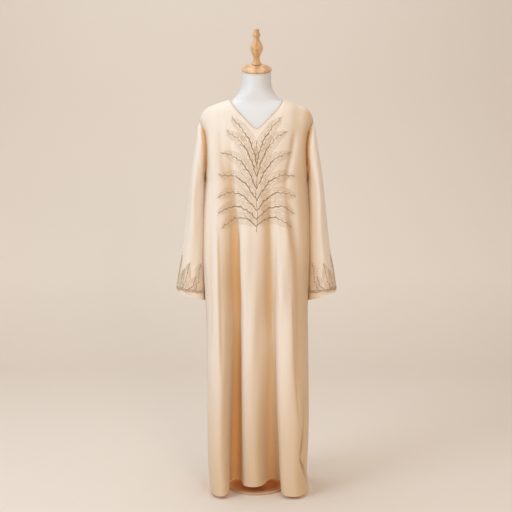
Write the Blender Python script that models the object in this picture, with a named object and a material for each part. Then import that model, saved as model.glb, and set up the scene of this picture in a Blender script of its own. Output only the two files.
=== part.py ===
"""A long-sleeved thobe robe worn by a limbless dress form on a pole and a round plate.

Metres, +Z up. The origin is the centre of the plate's underside, the robe's front faces -Y,
and left and right are meant as seen from the front, so left is -X. The robe is four cloth
walls: front and back meet at the shoulder ridge and down the sides, and a sleeve starts
from each armhole. Every wall is a grid: rows run down the cloth and columns run across it.
"""
import bpy
import numpy as np

# ---- driving dimensions, in metres ----
CLOTH = 0.002                 # thickness of a cloth wall
SEAM = 0.0003                 # gap that parts two pieces where they meet
SLEEVE_GAP = 0.0006           # the sleeve's first loop, out from the armhole and in from its edge
CAP_TURN = 0.02               # share of the sleeve in which it turns out of the armhole
CAP_SHARE = 0.16              # share in which it eases from the armhole's shape to an oval
RING_EXPONENT = 2.6           # squareness of the body's level sections
SHOULDER_Z = 1.350            # top of the armhole
UNDERARM_Z = 1.130            # bottom of the armhole
ARMHOLE_FRONT = 0.066         # how far the armhole reaches forwards
ARMHOLE_BACK = 0.070          # and backwards
NECK_HALF = 0.096             # half the neck's width on the shoulder ridge
NECK_FRONT_Z = 1.310          # bottom of the V neck
NECK_SLOPE = 1.12             # rise of the V's edge for each metre across
NECK_TIP_RADIUS = 0.012       # rounding of the V's tip
NECK_LIFT = 0.0145            # last rise of the V's edge over the ridge
NECK_BACK_DROP = 0.014        # the back neck's dip below the ridge
HEM_Z = 0.010                 # lowest point of the hem
MID_Z = 0.760                 # height of the mid-height section
FOLD_GROWTH = 1.1             # how late the skirt's folds start: 1 is evenly from the underarm
HEM_EASE = 3.0                # how late the hem's lift starts
POLE_RADIUS = 0.011
PLATE_RADIUS = 0.105
PLATE_THICK = 0.008
CAP_TILT = np.radians(22.0)   # the neck's top leans forwards
NECK_TOP = (0.0, -0.006, 1.526)

# ---- how finely the solids are cut ----
SHOULDER_COLUMNS = 12         # from the armhole to the neck, on each side
NECK_COLUMNS = 11             # from there to the middle
YOKE_ROWS = 12                # from the shoulder to the underarm
YOKE_SPREAD = 1.25            # above 1, the rows crowd towards the shoulder
SKIRT_ROWS = 12               # from the underarm to the hem
SLEEVE_ROWS = 12
FORM_SIDES = 28
TURNED_SIDES = 18
PLATE_SIDES = 48


def table(columns, rows, plain=""):
    """Named columns of a short table: millimetres turned into metres, but for the plain ones."""
    values = dict(zip(columns.split(), np.array(rows, float).T))
    return {name: v if name in plain.split() else v * 0.001 for name, v in values.items()}


# The robe's level sections above the underarm, from the neck down.
BODY_RINGS = table("z half_width front back", [
    (1418.5, 96, 60, 68),
    (1414, 121, 64, 72),
    (1404, 150, 70, 79),
    (1389, 183, 78, 87),
    (1375, 196, 85, 94),
    (1362, 201.5, 89.5, 99),
    (1350, 204.5, 93, 102.5),
    (1330, 203.5, 99.5, 106),
    (1300, 201, 107, 109),
    (1274, 199.5, 112, 110.5),
    (1238, 197, 117, 111.5),
    (1200, 193.5, 120, 112),
    (1167, 188.5, 121.5, 112.5),
    (1130, 185, 122.5, 113)])

SHOULDER_HALF = BODY_RINGS["half_width"][6]
UNDERARM_HALF = BODY_RINGS["half_width"][-1]

# Half widths of the robe below the underarm.
SKIRT_WIDTHS = table("z left right", [
    (1130, 185, 185),
    (1070, 189, 188),
    (1000, 192, 191),
    (900, 192.5, 192),
    (830, 191, 191),
    (770, 188, 189),
    (700, 184, 187),
    (580, 182, 188.5),
    (440, 179, 191),
    (320, 177, 192),
    (200, 177, 190),
    (130, 176, 187),
    (80, 174, 185),
    (10, 172, 190)])

# The hem in plan, from the left side seam across the front: three lobes and two troughs.
FRONT_HEM = table("x y z", [
    (-168, 0, 22),
    (-172, -45, 18),
    (-168, -92, 14),
    (-154, -130, 11),
    (-131, -151, 10),
    (-111, -147, 13),
    (-101, -126, 19),
    (-99, -85, 28),
    (-99, -46, 35),
    (-90, -32, 37),
    (-74, -29, 37),
    (-60, -38, 37),
    (-53, -64, 36),
    (-46, -92, 34),
    (-32, -108, 33),
    (-12, -112, 32),
    (10, -106, 33),
    (27, -88, 35),
    (39, -61, 38),
    (52, -41, 39),
    (69, -35, 39),
    (83, -40, 39),
    (88, -65, 35),
    (87, -105, 25),
    (91, -134, 16),
    (104, -149, 12),
    (125, -153, 10),
    (148, -149, 10),
    (168, -131, 11),
    (182, -97, 14),
    (189, -48, 18)])

# And on across the back, from the right side seam: three lobes and two shallower troughs.
BACK_HEM = table("x y z", [
    (190, 0, 20),
    (188, 48, 16),
    (178, 95, 13),
    (153, 129, 11),
    (122, 140, 10),
    (97, 129, 11),
    (81, 104, 14),
    (70, 84, 17),
    (56, 78, 18),
    (43, 89, 16),
    (31, 117, 13),
    (12, 136, 11),
    (-11, 138, 11),
    (-31, 124, 13),
    (-45, 99, 16),
    (-57, 85, 18),
    (-72, 91, 17),
    (-86, 116, 13),
    (-106, 136, 11),
    (-130, 140, 10),
    (-153, 125, 11),
    (-169, 92, 13),
    (-173, 46, 17)])

# The same two halves at mid-height, point for point with the hem: lower lobes, set off sideways.
FRONT_MID = table("x y", [
    (-188, 0), (-186, -42), (-177, -78), (-161, -100), (-143, -110), (-125, -109), (-108, -101),
    (-97, -93), (-89, -87), (-80, -80), (-70, -76), (-63, -77), (-58, -88), (-52, -106), (-42, -119),
    (-25, -123), (-5, -121), (14, -115), (30, -109), (44, -103), (56, -99), (64, -98), (69, -105),
    (75, -115), (84, -122), (98, -125), (115, -123), (134, -116), (155, -103), (174, -80), (187, -44)])
BACK_MID = table("x y", [
    (190, 0), (185, 38), (170, 74), (147, 99), (123, 110), (102, 111), (83, 106), (68, 102),
    (56, 100), (44, 105), (25, 114), (6, 120), (-13, 121), (-31, 116), (-50, 107), (-63, 102),
    (-76, 103), (-94, 108), (-113, 110), (-132, 107), (-151, 95), (-170, 72), (-183, 37)])

# The right sleeve's overarm and underarm lines, and half its depth, from armhole to cuff.
SLEEVE_LINES = table("share outer_x outer_z inner_x inner_z depth", [
    (0, 204.5, 1350, 185, 1130, 68),
    (0.02, 206, 1344, 189, 1126, 70),
    (0.1, 209.5, 1331, 191, 1109, 72),
    (0.2, 215.5, 1300, 192.5, 1088, 75),
    (0.3, 223.5, 1250, 194, 1058, 79),
    (0.4, 234, 1190, 195.5, 1020, 81),
    (0.5, 242.5, 1115, 196, 974, 82),
    (0.6, 250, 1032, 196, 918, 82),
    (0.7, 260, 950, 195.5, 862, 80),
    (0.8, 271.5, 866, 194.5, 804, 76),
    (0.9, 283, 799, 192.5, 750, 71),
    (1, 292, 731, 190, 696, 65)], plain="share")

# Sections of the dress form, from the neck's top down; lean is the section's tilt in degrees.
FORM_SECTIONS = table("z y lean half_width front back exponent", [
    (1526, -6, 22, 52.5, 53, 53, 2),
    (1505, -5, 19, 52.5, 53, 53, 2),
    (1484, -4, 14, 53.5, 54, 54, 2),
    (1466, -3, 9, 57, 55.5, 56, 2),
    (1450, -2, 5, 64, 57, 59, 2.1),
    (1438, -1, 2, 71.5, 58.3, 59, 2.2),
    (1428, 0, 0, 81, 59.2, 58.5, 2.4),
    (1421, 0, 0, 89, 59.9, 58.5, 2.4),
    (1415.4, 0, 0, 96, 60.6, 59.5, 2.4),
    (1411, 0, 0, 117, 61.4, 62, 2.3),
    (1401, 0, 0, 147, 65, 69, 2.3),
    (1392, 0, 0, 161, 69.5, 76, 2.4),
    (1375, 0, 0, 170, 78.5, 86, 2.4),
    (1350, 0, 0, 174, 88.5, 97, 2.4),
    (1325, 0, 0, 174, 97, 101, 2.3),
    (1285, 0, 0, 170, 106, 103, 2.2),
    (1240, 0, 0, 164, 111.5, 101, 2.2),
    (1200, 0, 0, 159, 113, 98, 2.2),
    (1130, 0, 0, 146, 105, 89, 2.2),
    (1050, 0, 0, 131, 92, 81, 2.2),
    (980, 0, 0, 135, 86, 84, 2.2),
    (900, 0, 0, 146, 77, 88, 2.2),
    (840, 0, 0, 147, 71, 87, 2.2),
    (815, 0, 0, 141, 66, 82, 2.2),
    (804, 0, 0, 122, 56, 70, 2.2)], plain="lean exponent")

# Turned profiles about the neck's axis: height over the neck's top, and radius.
CAP_PROFILE = table("height radius", [
    (0.3, 51), (1.5, 54.5), (4, 55.8), (7.5, 55), (11.5, 50.5), (15.5, 42), (19, 31), (22, 20), (24, 9)])
FINIAL_PROFILE = table("height radius", [
    (24.3, 9), (24.3, 17.2), (27, 17.4), (30, 15.6), (34, 13.6), (39, 12.4), (45, 11.2), (50, 12),
    (57, 15), (66, 19), (74, 21.6), (77, 22.4), (78.5, 21.6), (80.5, 23.2), (85, 23), (92, 21),
    (100, 17), (108, 12.4), (114, 10.2), (119, 9.8), (122, 11.2), (125, 13), (129, 13.5),
    (133, 12.4), (137, 10.2), (141, 9.4), (147, 9.6), (149.3, 8.4)])

COLOURS = {
    "robe": ((0.87, 0.71, 0.55, 1.0), 0.55, 0.0),
    "form": ((0.86, 0.85, 0.84, 1.0), 0.6, 0.0),
    "wood": ((0.62, 0.37, 0.18, 1.0), 0.45, 0.0),
    "steel": ((0.62, 0.61, 0.6, 1.0), 0.35, 1.0),
    "plate": ((0.30, 0.17, 0.09, 1.0), 0.5, 0.0),
}


# ---- curves through table values ----

def through(x, xs, ys):
    """Smooth curve through (xs, ys) read at x, that never swings past its own points."""
    order = np.argsort(xs)
    xs, ys = np.asarray(xs)[order], np.asarray(ys)[order]
    step = np.diff(xs)
    rise = np.diff(ys) / step
    slope = np.zeros_like(ys)
    same_way = rise[:-1] * rise[1:] > 0
    before, after = 2 * step[1:] + step[:-1], step[1:] + 2 * step[:-1]
    safe = np.where(same_way, rise[:-1] * rise[1:], 1.0)
    mean = (before + after) * safe / (before * rise[1:] + after * rise[:-1] + (~same_way))
    slope[1:-1] = np.where(same_way, mean, 0.0)
    slope[0], slope[-1] = rise[0], rise[-1]
    x = np.clip(x, xs[0], xs[-1])
    i = np.clip(np.searchsorted(xs, x, side="right") - 1, 0, len(step) - 1)
    t = (x - xs[i]) / step[i]
    return (ys[i] * (1 + 2 * t) * (1 - t) ** 2 + slope[i] * step[i] * t * (1 - t) ** 2
            + ys[i + 1] * t * t * (3 - 2 * t) - slope[i + 1] * step[i] * t * t * (1 - t))


def closed_curve(points, per_span=24):
    """Closed smooth curve through points; also the index where each given point lies."""
    before, after, later = np.roll(points, 1, 0), np.roll(points, -1, 0), np.roll(points, -2, 0)
    t = (np.arange(per_span) / per_span)[None, :, None]
    p0, p1, p2, p3 = (p[:, None, :] for p in (before, points, after, later))
    curve = 0.5 * (2 * p1 + (p2 - p0) * t + (2 * p0 - 5 * p1 + 4 * p2 - p3) * t ** 2
                   + (3 * p1 - p0 - 3 * p2 + p3) * t ** 3)
    return curve.reshape(-1, points.shape[1]), np.arange(len(points)) * per_span


def arc(curve):
    """Length along a polyline at each of its points."""
    return np.concatenate([[0], np.cumsum(np.linalg.norm(np.diff(curve, axis=0), axis=1))])


def along(curve, shares):
    """Points at the given shares of a polyline's length."""
    length = arc(curve)
    return np.stack([np.interp(shares * length[-1], length, curve[:, k])
                     for k in range(curve.shape[1])], axis=-1)


# ---- the robe's body ----

def depth(x, z, side):
    """Distance of the body's surface from the middle plane at (x, z): a rounded-square section."""
    width = through(z, BODY_RINGS["z"], BODY_RINGS["half_width"])
    reach = through(z, BODY_RINGS["z"], BODY_RINGS[side])
    inside = np.clip(1 - np.abs(x / width) ** RING_EXPONENT, 0, 1)
    return reach * inside ** (1 / RING_EXPONENT)


def yoke_normals(points, side):
    """Outward unit normals of the yoke, from the slopes of its rounded-square section."""
    x, y, z = points[..., 0], points[..., 1], points[..., 2]
    step = 0.0005
    values = []
    for height in (z - step, z + step, z):
        width = through(height, BODY_RINGS["z"], BODY_RINGS["half_width"])
        reach = through(height, BODY_RINGS["z"], BODY_RINGS[side])
        values.append(np.abs(x / width) ** RING_EXPONENT + np.abs(y / reach) ** RING_EXPONENT)
    power = RING_EXPONENT - 1
    n = np.stack([np.sign(x) * np.abs(x / width) ** power / width,
                  np.sign(y) * np.abs(y / reach) ** power / reach,
                  (values[1] - values[0]) / (2 * step) / RING_EXPONENT], axis=-1)
    return n / np.linalg.norm(n, axis=-1, keepdims=True)


def ridge_z(x):
    """Height of the shoulder ridge at x: where the section's half width is that x."""
    z = np.linspace(SHOULDER_Z, BODY_RINGS["z"][0], 4001)
    width = through(z, BODY_RINGS["z"], BODY_RINGS["half_width"])
    return np.interp(-np.abs(x), -width, z)


def armhole(z, side):
    """The armhole's edge at height z: its x and its distance from the middle plane."""
    reach = ARMHOLE_FRONT if side == "front" else ARMHOLE_BACK
    middle, half = (SHOULDER_Z + UNDERARM_Z) / 2, (SHOULDER_Z - UNDERARM_Z) / 2
    away = reach * np.sqrt(np.clip(1 - ((z - middle) / half) ** 2, 0, 1))
    width = through(z, BODY_RINGS["z"], BODY_RINGS["half_width"])
    body = through(z, BODY_RINGS["z"], BODY_RINGS[side])
    x = width * (1 - (away / body) ** RING_EXPONENT) ** (1 / RING_EXPONENT)
    return np.where(z > SHOULDER_Z, SHOULDER_HALF, x), away


def half_loops(side):
    """Sections at the underarm, mid-height and the hem, from one side seam to the other.

    The last two run point for point, so that a fold keeps its place in the cloth.
    """
    sign = -1 if side == "front" else 1
    turn = np.linspace(-np.pi / 2, np.pi / 2, 721)
    x = UNDERARM_HALF * np.sign(np.sin(turn)) * np.abs(np.sin(turn)) ** (2 / RING_EXPONENT)
    y = sign * BODY_RINGS[side][-1] * np.abs(np.cos(turn)) ** (2 / RING_EXPONENT)
    halves = []
    for front, back in ((FRONT_MID, BACK_MID), (FRONT_HEM, BACK_HEM)):
        points = np.concatenate([np.stack(list(k.values()), 1) for k in (front, back)])
        curve, at = closed_curve(points)
        split = at[len(front["x"])]
        halves.append(curve[:split + 1] if side == "front"
                      else np.concatenate([curve[split:], curve[:1]])[::-1])
    return np.stack([x, y], 1), halves[0], halves[1]


def loops(side, shares):
    """Points of the three sections at shares of the cloth's width.

    A share is the mean of the shares of the two lower sections' lengths, and the underarm's
    section is cut as the mid-height one.
    """
    top, mid, hem = half_loops(side)
    mid_share, hem_share = (arc(k[:, :2]) / arc(k[:, :2])[-1] for k in (mid, hem))
    index = np.arange(len(mid))
    place = np.interp(shares, (mid_share + hem_share) / 2, index)
    lower = [np.stack([np.interp(place, index, k) for k in curve.T], axis=1) for curve in (mid, hem)]
    return along(top, np.interp(place, index, mid_share)), lower[0], lower[1]


def column_shares(side):
    """Columns as shares of the cloth's width: one on each neck point, and even along the neckline."""
    fine = np.linspace(0, 1, 4001)
    across = loops(side, fine)[0][:, 0] / UNDERARM_HALF
    left, right = np.interp([-NECK_HALF, NECK_HALF], across * SHOULDER_HALF, fine)
    near = (fine > left) & (fine < right)
    z = yoke_top(across[near], side)
    x = across[near] * armhole(z, side)[0]
    length = arc(np.stack([x, depth(x, z, side), z], 1))
    middle = np.interp(0, x, length)
    steps = np.concatenate([np.linspace(0, middle, NECK_COLUMNS + 1)[1:],
                            np.linspace(middle, length[-1], NECK_COLUMNS + 1)[1:-1]])
    return np.concatenate([np.linspace(0, left, SHOULDER_COLUMNS + 1),
                           np.interp(steps, length, fine[near]),
                           np.linspace(right, 1, SHOULDER_COLUMNS + 1)])


def yoke_top(across, side):
    """Height of a column's upper end: the shoulder ridge, the V in front, the dip behind."""
    z = np.full_like(across, SHOULDER_Z)
    for _ in range(12):
        edge, _ = armhole(z, side)
        x = np.abs(across * edge)
        if side == "front":
            v = (NECK_FRONT_Z + NECK_SLOPE * (np.hypot(x, NECK_TIP_RADIUS) - NECK_TIP_RADIUS)
                 + NECK_LIFT * (x / NECK_HALF) ** 12)
        else:
            v = BODY_RINGS["z"][0] - NECK_BACK_DROP * np.clip(1 - (x / NECK_HALF) ** 2, 0, 1)
        z = np.where(x >= NECK_HALF * 0.999, ridge_z(x), np.minimum(v, BODY_RINGS["z"][0]))
    return z


def yoke(side, shares):
    """The cloth from the shoulder to the underarm: rows evenly spaced down each column."""
    sign = -1 if side == "front" else 1
    across = loops(side, shares)[0][:, 0] / UNDERARM_HALF
    z_top = yoke_top(across, side)
    fine = (1 - np.cos(np.linspace(0, np.pi, 301))) / 2
    rows = np.linspace(0, 1, YOKE_ROWS + 1) ** YOKE_SPREAD
    grid = np.empty((YOKE_ROWS + 1, len(shares), 3))
    for j, (s, start) in enumerate(zip(across, z_top)):
        z = start + (UNDERARM_Z - start) * fine
        edge, away = armhole(z, side)
        x = s * edge
        y = away if abs(s) > 0.999999 else depth(x, z, side)
        grid[:, j] = along(np.stack([x, sign * y, z], 1), rows)
    return grid


def skirt_plan(side, shares, down):
    """The folds in plan at shares of the way down: a parabola through the three sections."""
    top, mid, hem = loops(side, shares)
    s = down ** FOLD_GROWTH
    m = ((UNDERARM_Z - MID_Z) / (UNDERARM_Z - HEM_Z)) ** FOLD_GROWTH
    parts = ((s - m) * (s - 1) / m, s * (1 - s) / (m * (1 - m)), s * (s - m) / (1 - m))
    return sum(part[..., None] * loop[:, :2] for part, loop in zip(parts, (top, mid, hem)))


def skirt(side, shares):
    """The cloth from the underarm to the hem, its folds set to the skirt's widths."""
    down = np.linspace(0, 1, SKIRT_ROWS + 1)[1:, None]
    z = UNDERARM_Z + (HEM_Z - UNDERARM_Z) * down
    fine = np.linspace(0, 1, 401)
    whole = np.concatenate([skirt_plan(k, fine, down)[..., 0] for k in ("front", "back")], axis=1)
    left = through(z, SKIRT_WIDTHS["z"], SKIRT_WIDTHS["left"]) / -whole.min(axis=1, keepdims=True)
    right = through(z, SKIRT_WIDTHS["z"], SKIRT_WIDTHS["right"]) / whole.max(axis=1, keepdims=True)
    x, y = np.moveaxis(skirt_plan(side, shares, down), -1, 0)
    hem_z = loops(side, shares)[2][:, 2]
    return np.stack([x * np.where(x < 0, left, right), y,
                     z + (hem_z - HEM_Z) * down ** HEM_EASE], axis=-1)


def normals(grid, around=False):
    """Unit normals of a grid of points, from its rows and columns."""
    if around:
        wide = np.concatenate([grid[:, -1:], grid, grid[:, :1]], axis=1)
        across = (wide[:, 2:] - wide[:, :-2]) / 2
    else:
        across = np.gradient(grid, axis=1)
    down = np.gradient(grid, axis=0)
    n = np.cross(down, across)
    return n / np.maximum(np.linalg.norm(n, axis=2, keepdims=True), 1e-12)


def body_panel(side):
    """Outer and inner points of the front or the back, edges drawn back for the seams."""
    shares = column_shares(side)
    outer = np.concatenate([yoke(side, shares), skirt(side, shares)])
    sign = -1 if side == "front" else 1
    n = normals(outer) * -sign
    n[:YOKE_ROWS + 1] = yoke_normals(outer[:YOKE_ROWS + 1], side)
    inner = outer - n * CLOTH
    ridge = np.abs(outer[0, :, 0]) >= NECK_HALF * 0.999
    for points in (outer, inner):
        points[0, ridge, 1] = sign * SEAM / 2
        points[YOKE_ROWS:, [0, -1], 1] = sign * SEAM / 2
    return outer, inner


# ---- the sleeves ----

def sleeve():
    """Outer and inner points of the right sleeve: a tube of slanting oval loops.

    Its first loop is the armhole's edge moved out by the seam's gap. The loops that follow
    swing from the armhole's upright plane to the cuff's nearly level one.
    """
    panels = [body_panel(side) for side in ("front", "back")]
    edge, edge_inner = (np.concatenate([panels[0][k][:YOKE_ROWS + 1, -1],
                                        panels[1][k][1:YOKE_ROWS, -1][::-1]]) for k in (0, 1))
    middle, half = (SHOULDER_Z + UNDERARM_Z) / 2, (SHOULDER_Z - UNDERARM_Z) / 2
    angle = np.arctan2(-edge[:, 1] / ARMHOLE_FRONT, (edge[:, 2] - middle) / half)
    v = np.concatenate([[0, CAP_TURN], np.linspace(CAP_TURN, 1, SLEEVE_ROWS)[1:]])
    ox, oz, ix, iz, reach = (through(v, SLEEVE_LINES["share"], SLEEVE_LINES[k])[:, None]
                             for k in "outer_x outer_z inner_x inner_z depth".split())
    x = (ox + ix) / 2 + (ox - ix) / 2 * np.cos(angle)
    z = (oz + iz) / 2 + (oz - iz) / 2 * np.cos(angle)
    y = -reach * np.sin(angle)
    outer = np.stack([x, y, z], axis=-1)
    outer += (edge - outer[0]) * np.clip(1 - v / CAP_SHARE, 0, 1)[:, None, None] ** 2
    inwards = np.stack([0 * angle + 1, np.sin(angle), -np.cos(angle)], axis=1)
    outer[0] += inwards * SLEEVE_GAP
    outwards = -normals(outer, around=True)
    upper = ((1 + np.cos(angle)) / 2)[:, None]
    start = upper * (edge - edge_inner) / CLOTH + (1 - upper) * outwards[0]
    outwards[0] = start / np.linalg.norm(start, axis=1, keepdims=True)
    return outer, outer - outwards * CLOTH


# ---- meshes ----

def material(name):
    colour, roughness, metallic = COLOURS[name]
    found = bpy.data.materials.new(name)
    found.use_nodes = True
    shader = found.node_tree.nodes["Principled BSDF"]
    shader.inputs["Base Color"].default_value = colour
    shader.inputs["Roughness"].default_value = roughness
    shader.inputs["Metallic"].default_value = metallic
    return found


def add_piece(name, points, faces, finish):
    """One named object from points and faces, smooth but for its sharp edges."""
    mesh = bpy.data.meshes.new(name)
    mesh.from_pydata(np.asarray(points).reshape(-1, 3).tolist(), [], faces)
    mesh.materials.append(material(finish))
    mesh.shade_smooth()
    mesh.set_sharp_from_angle(angle=np.radians(50))
    piece = bpy.data.objects.new(name, mesh)
    bpy.context.collection.objects.link(piece)
    return piece


def quads(rows, columns, around, flip=False, start=0):
    """Faces of a grid of points, wrapped round where it is a tube."""
    faces = []
    for i in range(rows - 1):
        for j in range(columns if around else columns - 1):
            k = (j + 1) % columns
            face = [start + i * columns + j, start + (i + 1) * columns + j,
                    start + (i + 1) * columns + k, start + i * columns + k]
            faces.append(face[::-1] if flip else face)
    return faces


def add_wall(name, outer, inner, finish, around=False, flip=False):
    """A closed wall between two grids of points, with a rim along every free edge."""
    rows, columns = outer.shape[:2]
    count = rows * columns
    faces = quads(rows, columns, around, flip) + quads(rows, columns, around, not flip, count)
    edges = []
    for j in range(columns if around else columns - 1):
        k = (j + 1) % columns
        edges.append((k, j))
        edges.append(((rows - 1) * columns + j, (rows - 1) * columns + k))
    if not around:
        for i in range(rows - 1):
            edges.append((i * columns, (i + 1) * columns))
            edges.append(((i + 1) * columns + columns - 1, i * columns + columns - 1))
    for a, b in edges:
        face = [b, a, a + count, b + count]
        faces.append(face[::-1] if flip else face)
    return add_piece(name, np.concatenate([outer.reshape(-1, 3), inner.reshape(-1, 3)]), faces, finish)


def add_stack(name, sections, finish):
    """A closed solid through level sections, from the top one down, with flat ends."""
    rows, columns = sections.shape[:2]
    faces = quads(rows, columns, around=True)
    faces.append(list(range(columns)))
    faces.append(list(range((rows - 1) * columns, rows * columns))[::-1])
    return add_piece(name, sections, faces, finish)


def turned(profile, sides, centre=(0.0, 0.0, 0.0), tilt=0.0):
    """Rings of a turned profile, top first, about an axis leant forwards by tilt."""
    turn = np.arange(sides) * 2 * np.pi / sides
    radius, height = profile["radius"][::-1, None], profile["height"][::-1, None]
    x, y = radius * np.cos(turn), radius * np.sin(turn)
    z = height + 0 * turn
    return np.stack([x, y * np.cos(tilt) - z * np.sin(tilt),
                     y * np.sin(tilt) + z * np.cos(tilt)], axis=-1) + centre


def form_sections():
    """The dress form's sections: rounded squares that lean with the neck."""
    s = FORM_SECTIONS
    turn = (np.arange(FORM_SIDES) * 2 * np.pi / FORM_SIDES)[None, :]
    power = 2 / s["exponent"][:, None]
    x = s["half_width"][:, None] * np.sign(np.cos(turn)) * np.abs(np.cos(turn)) ** power
    reach = np.where(np.sin(turn) < 0, s["front"][:, None], s["back"][:, None])
    y = reach * np.sign(np.sin(turn)) * np.abs(np.sin(turn)) ** power
    lean = np.radians(s["lean"][:, None])
    return np.stack([x, s["y"][:, None] + y * np.cos(lean), s["z"][:, None] + y * np.sin(lean)], -1)


def rod(radius, low, high, sides):
    """Two rings of an upright round bar."""
    return turned({"radius": np.array([radius, radius]), "height": np.array([low, high])}, sides)


def build():
    for old in list(bpy.data.objects):
        bpy.data.objects.remove(old, do_unlink=True)
    for side in ("front", "back"):
        outer, inner = body_panel(side)
        add_wall("robe_" + side, outer, inner, "robe", flip=side == "back")
    outer, inner = sleeve()
    mirror = np.array([-1.0, 1.0, 1.0])
    add_wall("sleeve_right", outer, inner, "robe", around=True, flip=True)
    add_wall("sleeve_left", outer * mirror, inner * mirror, "robe", around=True)
    add_stack("form_torso", form_sections(), "form")
    add_stack("neck_cap", turned(CAP_PROFILE, TURNED_SIDES, NECK_TOP, CAP_TILT), "wood")
    add_stack("neck_finial", turned(FINIAL_PROFILE, TURNED_SIDES, NECK_TOP, CAP_TILT), "wood")
    form_bottom = FORM_SECTIONS["z"][-1]
    add_stack("stand_pole", rod(POLE_RADIUS, PLATE_THICK + SEAM, form_bottom - SEAM, 16), "steel")
    add_stack("stand_plate", rod(PLATE_RADIUS, 0.0, PLATE_THICK, PLATE_SIDES), "plate")


build()
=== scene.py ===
"""The finish of a long-sleeved thobe robe on a limbless dress form.

Metres, +Z up. The robe's front faces -Y, and left and right are meant as seen from the front,
so left is -X. Every surface is a function of two parameters, worked out with numpy.
"""
import functools

import bpy
import numpy as np
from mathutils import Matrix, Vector
from mathutils.bvhtree import BVHTree


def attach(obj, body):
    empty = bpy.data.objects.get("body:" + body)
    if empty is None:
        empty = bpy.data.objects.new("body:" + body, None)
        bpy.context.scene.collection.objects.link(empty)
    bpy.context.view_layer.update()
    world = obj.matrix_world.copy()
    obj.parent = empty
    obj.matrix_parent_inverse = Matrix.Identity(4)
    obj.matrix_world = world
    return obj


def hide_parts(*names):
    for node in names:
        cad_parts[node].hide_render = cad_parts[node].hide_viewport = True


bl_info = {
    "name": "Thobe Robe on Dress Form",
    "version": (1, 0, 0),
    "blender": (4, 5, 0),
    "location": "3D View > Sidebar > Thobe",
    "description": "Cloth, beadwork, dress form and studio of a long-sleeved robe",
    "category": "Add Mesh",
}

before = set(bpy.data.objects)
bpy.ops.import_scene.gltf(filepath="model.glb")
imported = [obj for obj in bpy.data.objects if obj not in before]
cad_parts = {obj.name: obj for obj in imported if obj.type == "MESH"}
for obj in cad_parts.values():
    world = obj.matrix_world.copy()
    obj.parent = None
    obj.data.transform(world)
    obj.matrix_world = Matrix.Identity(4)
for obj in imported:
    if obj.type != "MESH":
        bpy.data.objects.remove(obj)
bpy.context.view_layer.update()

# ---- the solids' own sizes, in metres ----
SEAM = 0.0003
SLEEVE_GAP = 0.0006
CAP_TURN = 0.02
CAP_SHARE = 0.16
RING_EXPONENT = 2.6
SHOULDER_Z = 1.350
UNDERARM_Z = 1.130
ARMHOLE_REACH = {"front": 0.066, "back": 0.070}
NECK_HALF = 0.096
NECK_FRONT_Z = 1.310
NECK_SLOPE = 1.12
NECK_TIP_RADIUS = 0.012
NECK_LIFT = 0.0145
NECK_BACK_DROP = 0.014
HEM_Z = 0.010
MID_Z = 0.760
FOLD_GROWTH = 1.1
HEM_EASE = 3.0
POLE_RADIUS = 0.011
PLATE_RADIUS = 0.105
PLATE_THICK = 0.008
CAP_TILT = np.radians(22.0)
NECK_TOP = (0.0, -0.006, 1.526)

# Which way along Y each half of the robe faces, and what turns the right side into each side.
SIGN = {"front": -1, "back": 1}
TURNS = {"right": np.array([1.0, 1.0, 1.0]), "left": np.array([-1.0, 1.0, 1.0])}

# ---- how finely the cloth is cut ----
BODY_COLUMNS = 220
YOKE_ROWS = 60
SKIRT_ROWS = 142
SLEEVE_COLUMNS = 132
SLEEVE_ROWS = 190
FORM_SIDES = 96

# The strip that the cuff's design is drawn on: round the sleeve and down it.
CUFF_AROUND, CUFF_LONG = 0.46, 0.56


def table(columns, rows, plain=""):
    """Named columns of a short table: millimetres turned into metres, but for the plain ones."""
    values = dict(zip(columns.split(), np.array(rows, float).T))
    return {name: v if name in plain.split() else v * 0.001 for name, v in values.items()}


# The robe's level sections above the underarm, from the neck down.
BODY_RINGS = table("z half_width front back", [
    (1418.5, 96, 60, 68),
    (1414, 121, 64, 72),
    (1404, 150, 70, 79),
    (1389, 183, 78, 87),
    (1375, 196, 85, 94),
    (1362, 201.5, 89.5, 99),
    (1350, 204.5, 93, 102.5),
    (1330, 203.5, 99.5, 106),
    (1300, 201, 107, 109),
    (1274, 199.5, 112, 110.5),
    (1238, 197, 117, 111.5),
    (1200, 193.5, 120, 112),
    (1167, 188.5, 121.5, 112.5),
    (1130, 185, 122.5, 113)])
SHOULDER_HALF = BODY_RINGS["half_width"][6]
UNDERARM_HALF = BODY_RINGS["half_width"][-1]

# Half widths of the robe below the underarm.
SKIRT_WIDTHS = table("z left right", [
    (1130, 185, 185),
    (1070, 189, 188),
    (1000, 192, 191),
    (900, 192.5, 192),
    (830, 191, 191),
    (770, 188, 189),
    (700, 184, 187),
    (580, 182, 188.5),
    (440, 179, 191),
    (320, 177, 192),
    (200, 177, 190),
    (130, 176, 187),
    (80, 174, 185),
    (10, 172, 190)])

# The hem in plan, from the left side seam across the front: three lobes and two troughs.
FRONT_HEM = table("x y z", [
    (-168, 0, 22),
    (-172, -45, 18),
    (-168, -92, 14),
    (-154, -130, 11),
    (-131, -151, 10),
    (-111, -147, 13),
    (-101, -126, 19),
    (-99, -85, 28),
    (-99, -46, 35),
    (-90, -32, 37),
    (-74, -29, 37),
    (-60, -38, 37),
    (-53, -64, 36),
    (-46, -92, 34),
    (-32, -108, 33),
    (-12, -112, 32),
    (10, -106, 33),
    (27, -88, 35),
    (39, -61, 38),
    (52, -41, 39),
    (69, -35, 39),
    (83, -40, 39),
    (88, -65, 35),
    (87, -105, 25),
    (91, -134, 16),
    (104, -149, 12),
    (125, -153, 10),
    (148, -149, 10),
    (168, -131, 11),
    (182, -97, 14),
    (189, -48, 18)])

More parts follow.
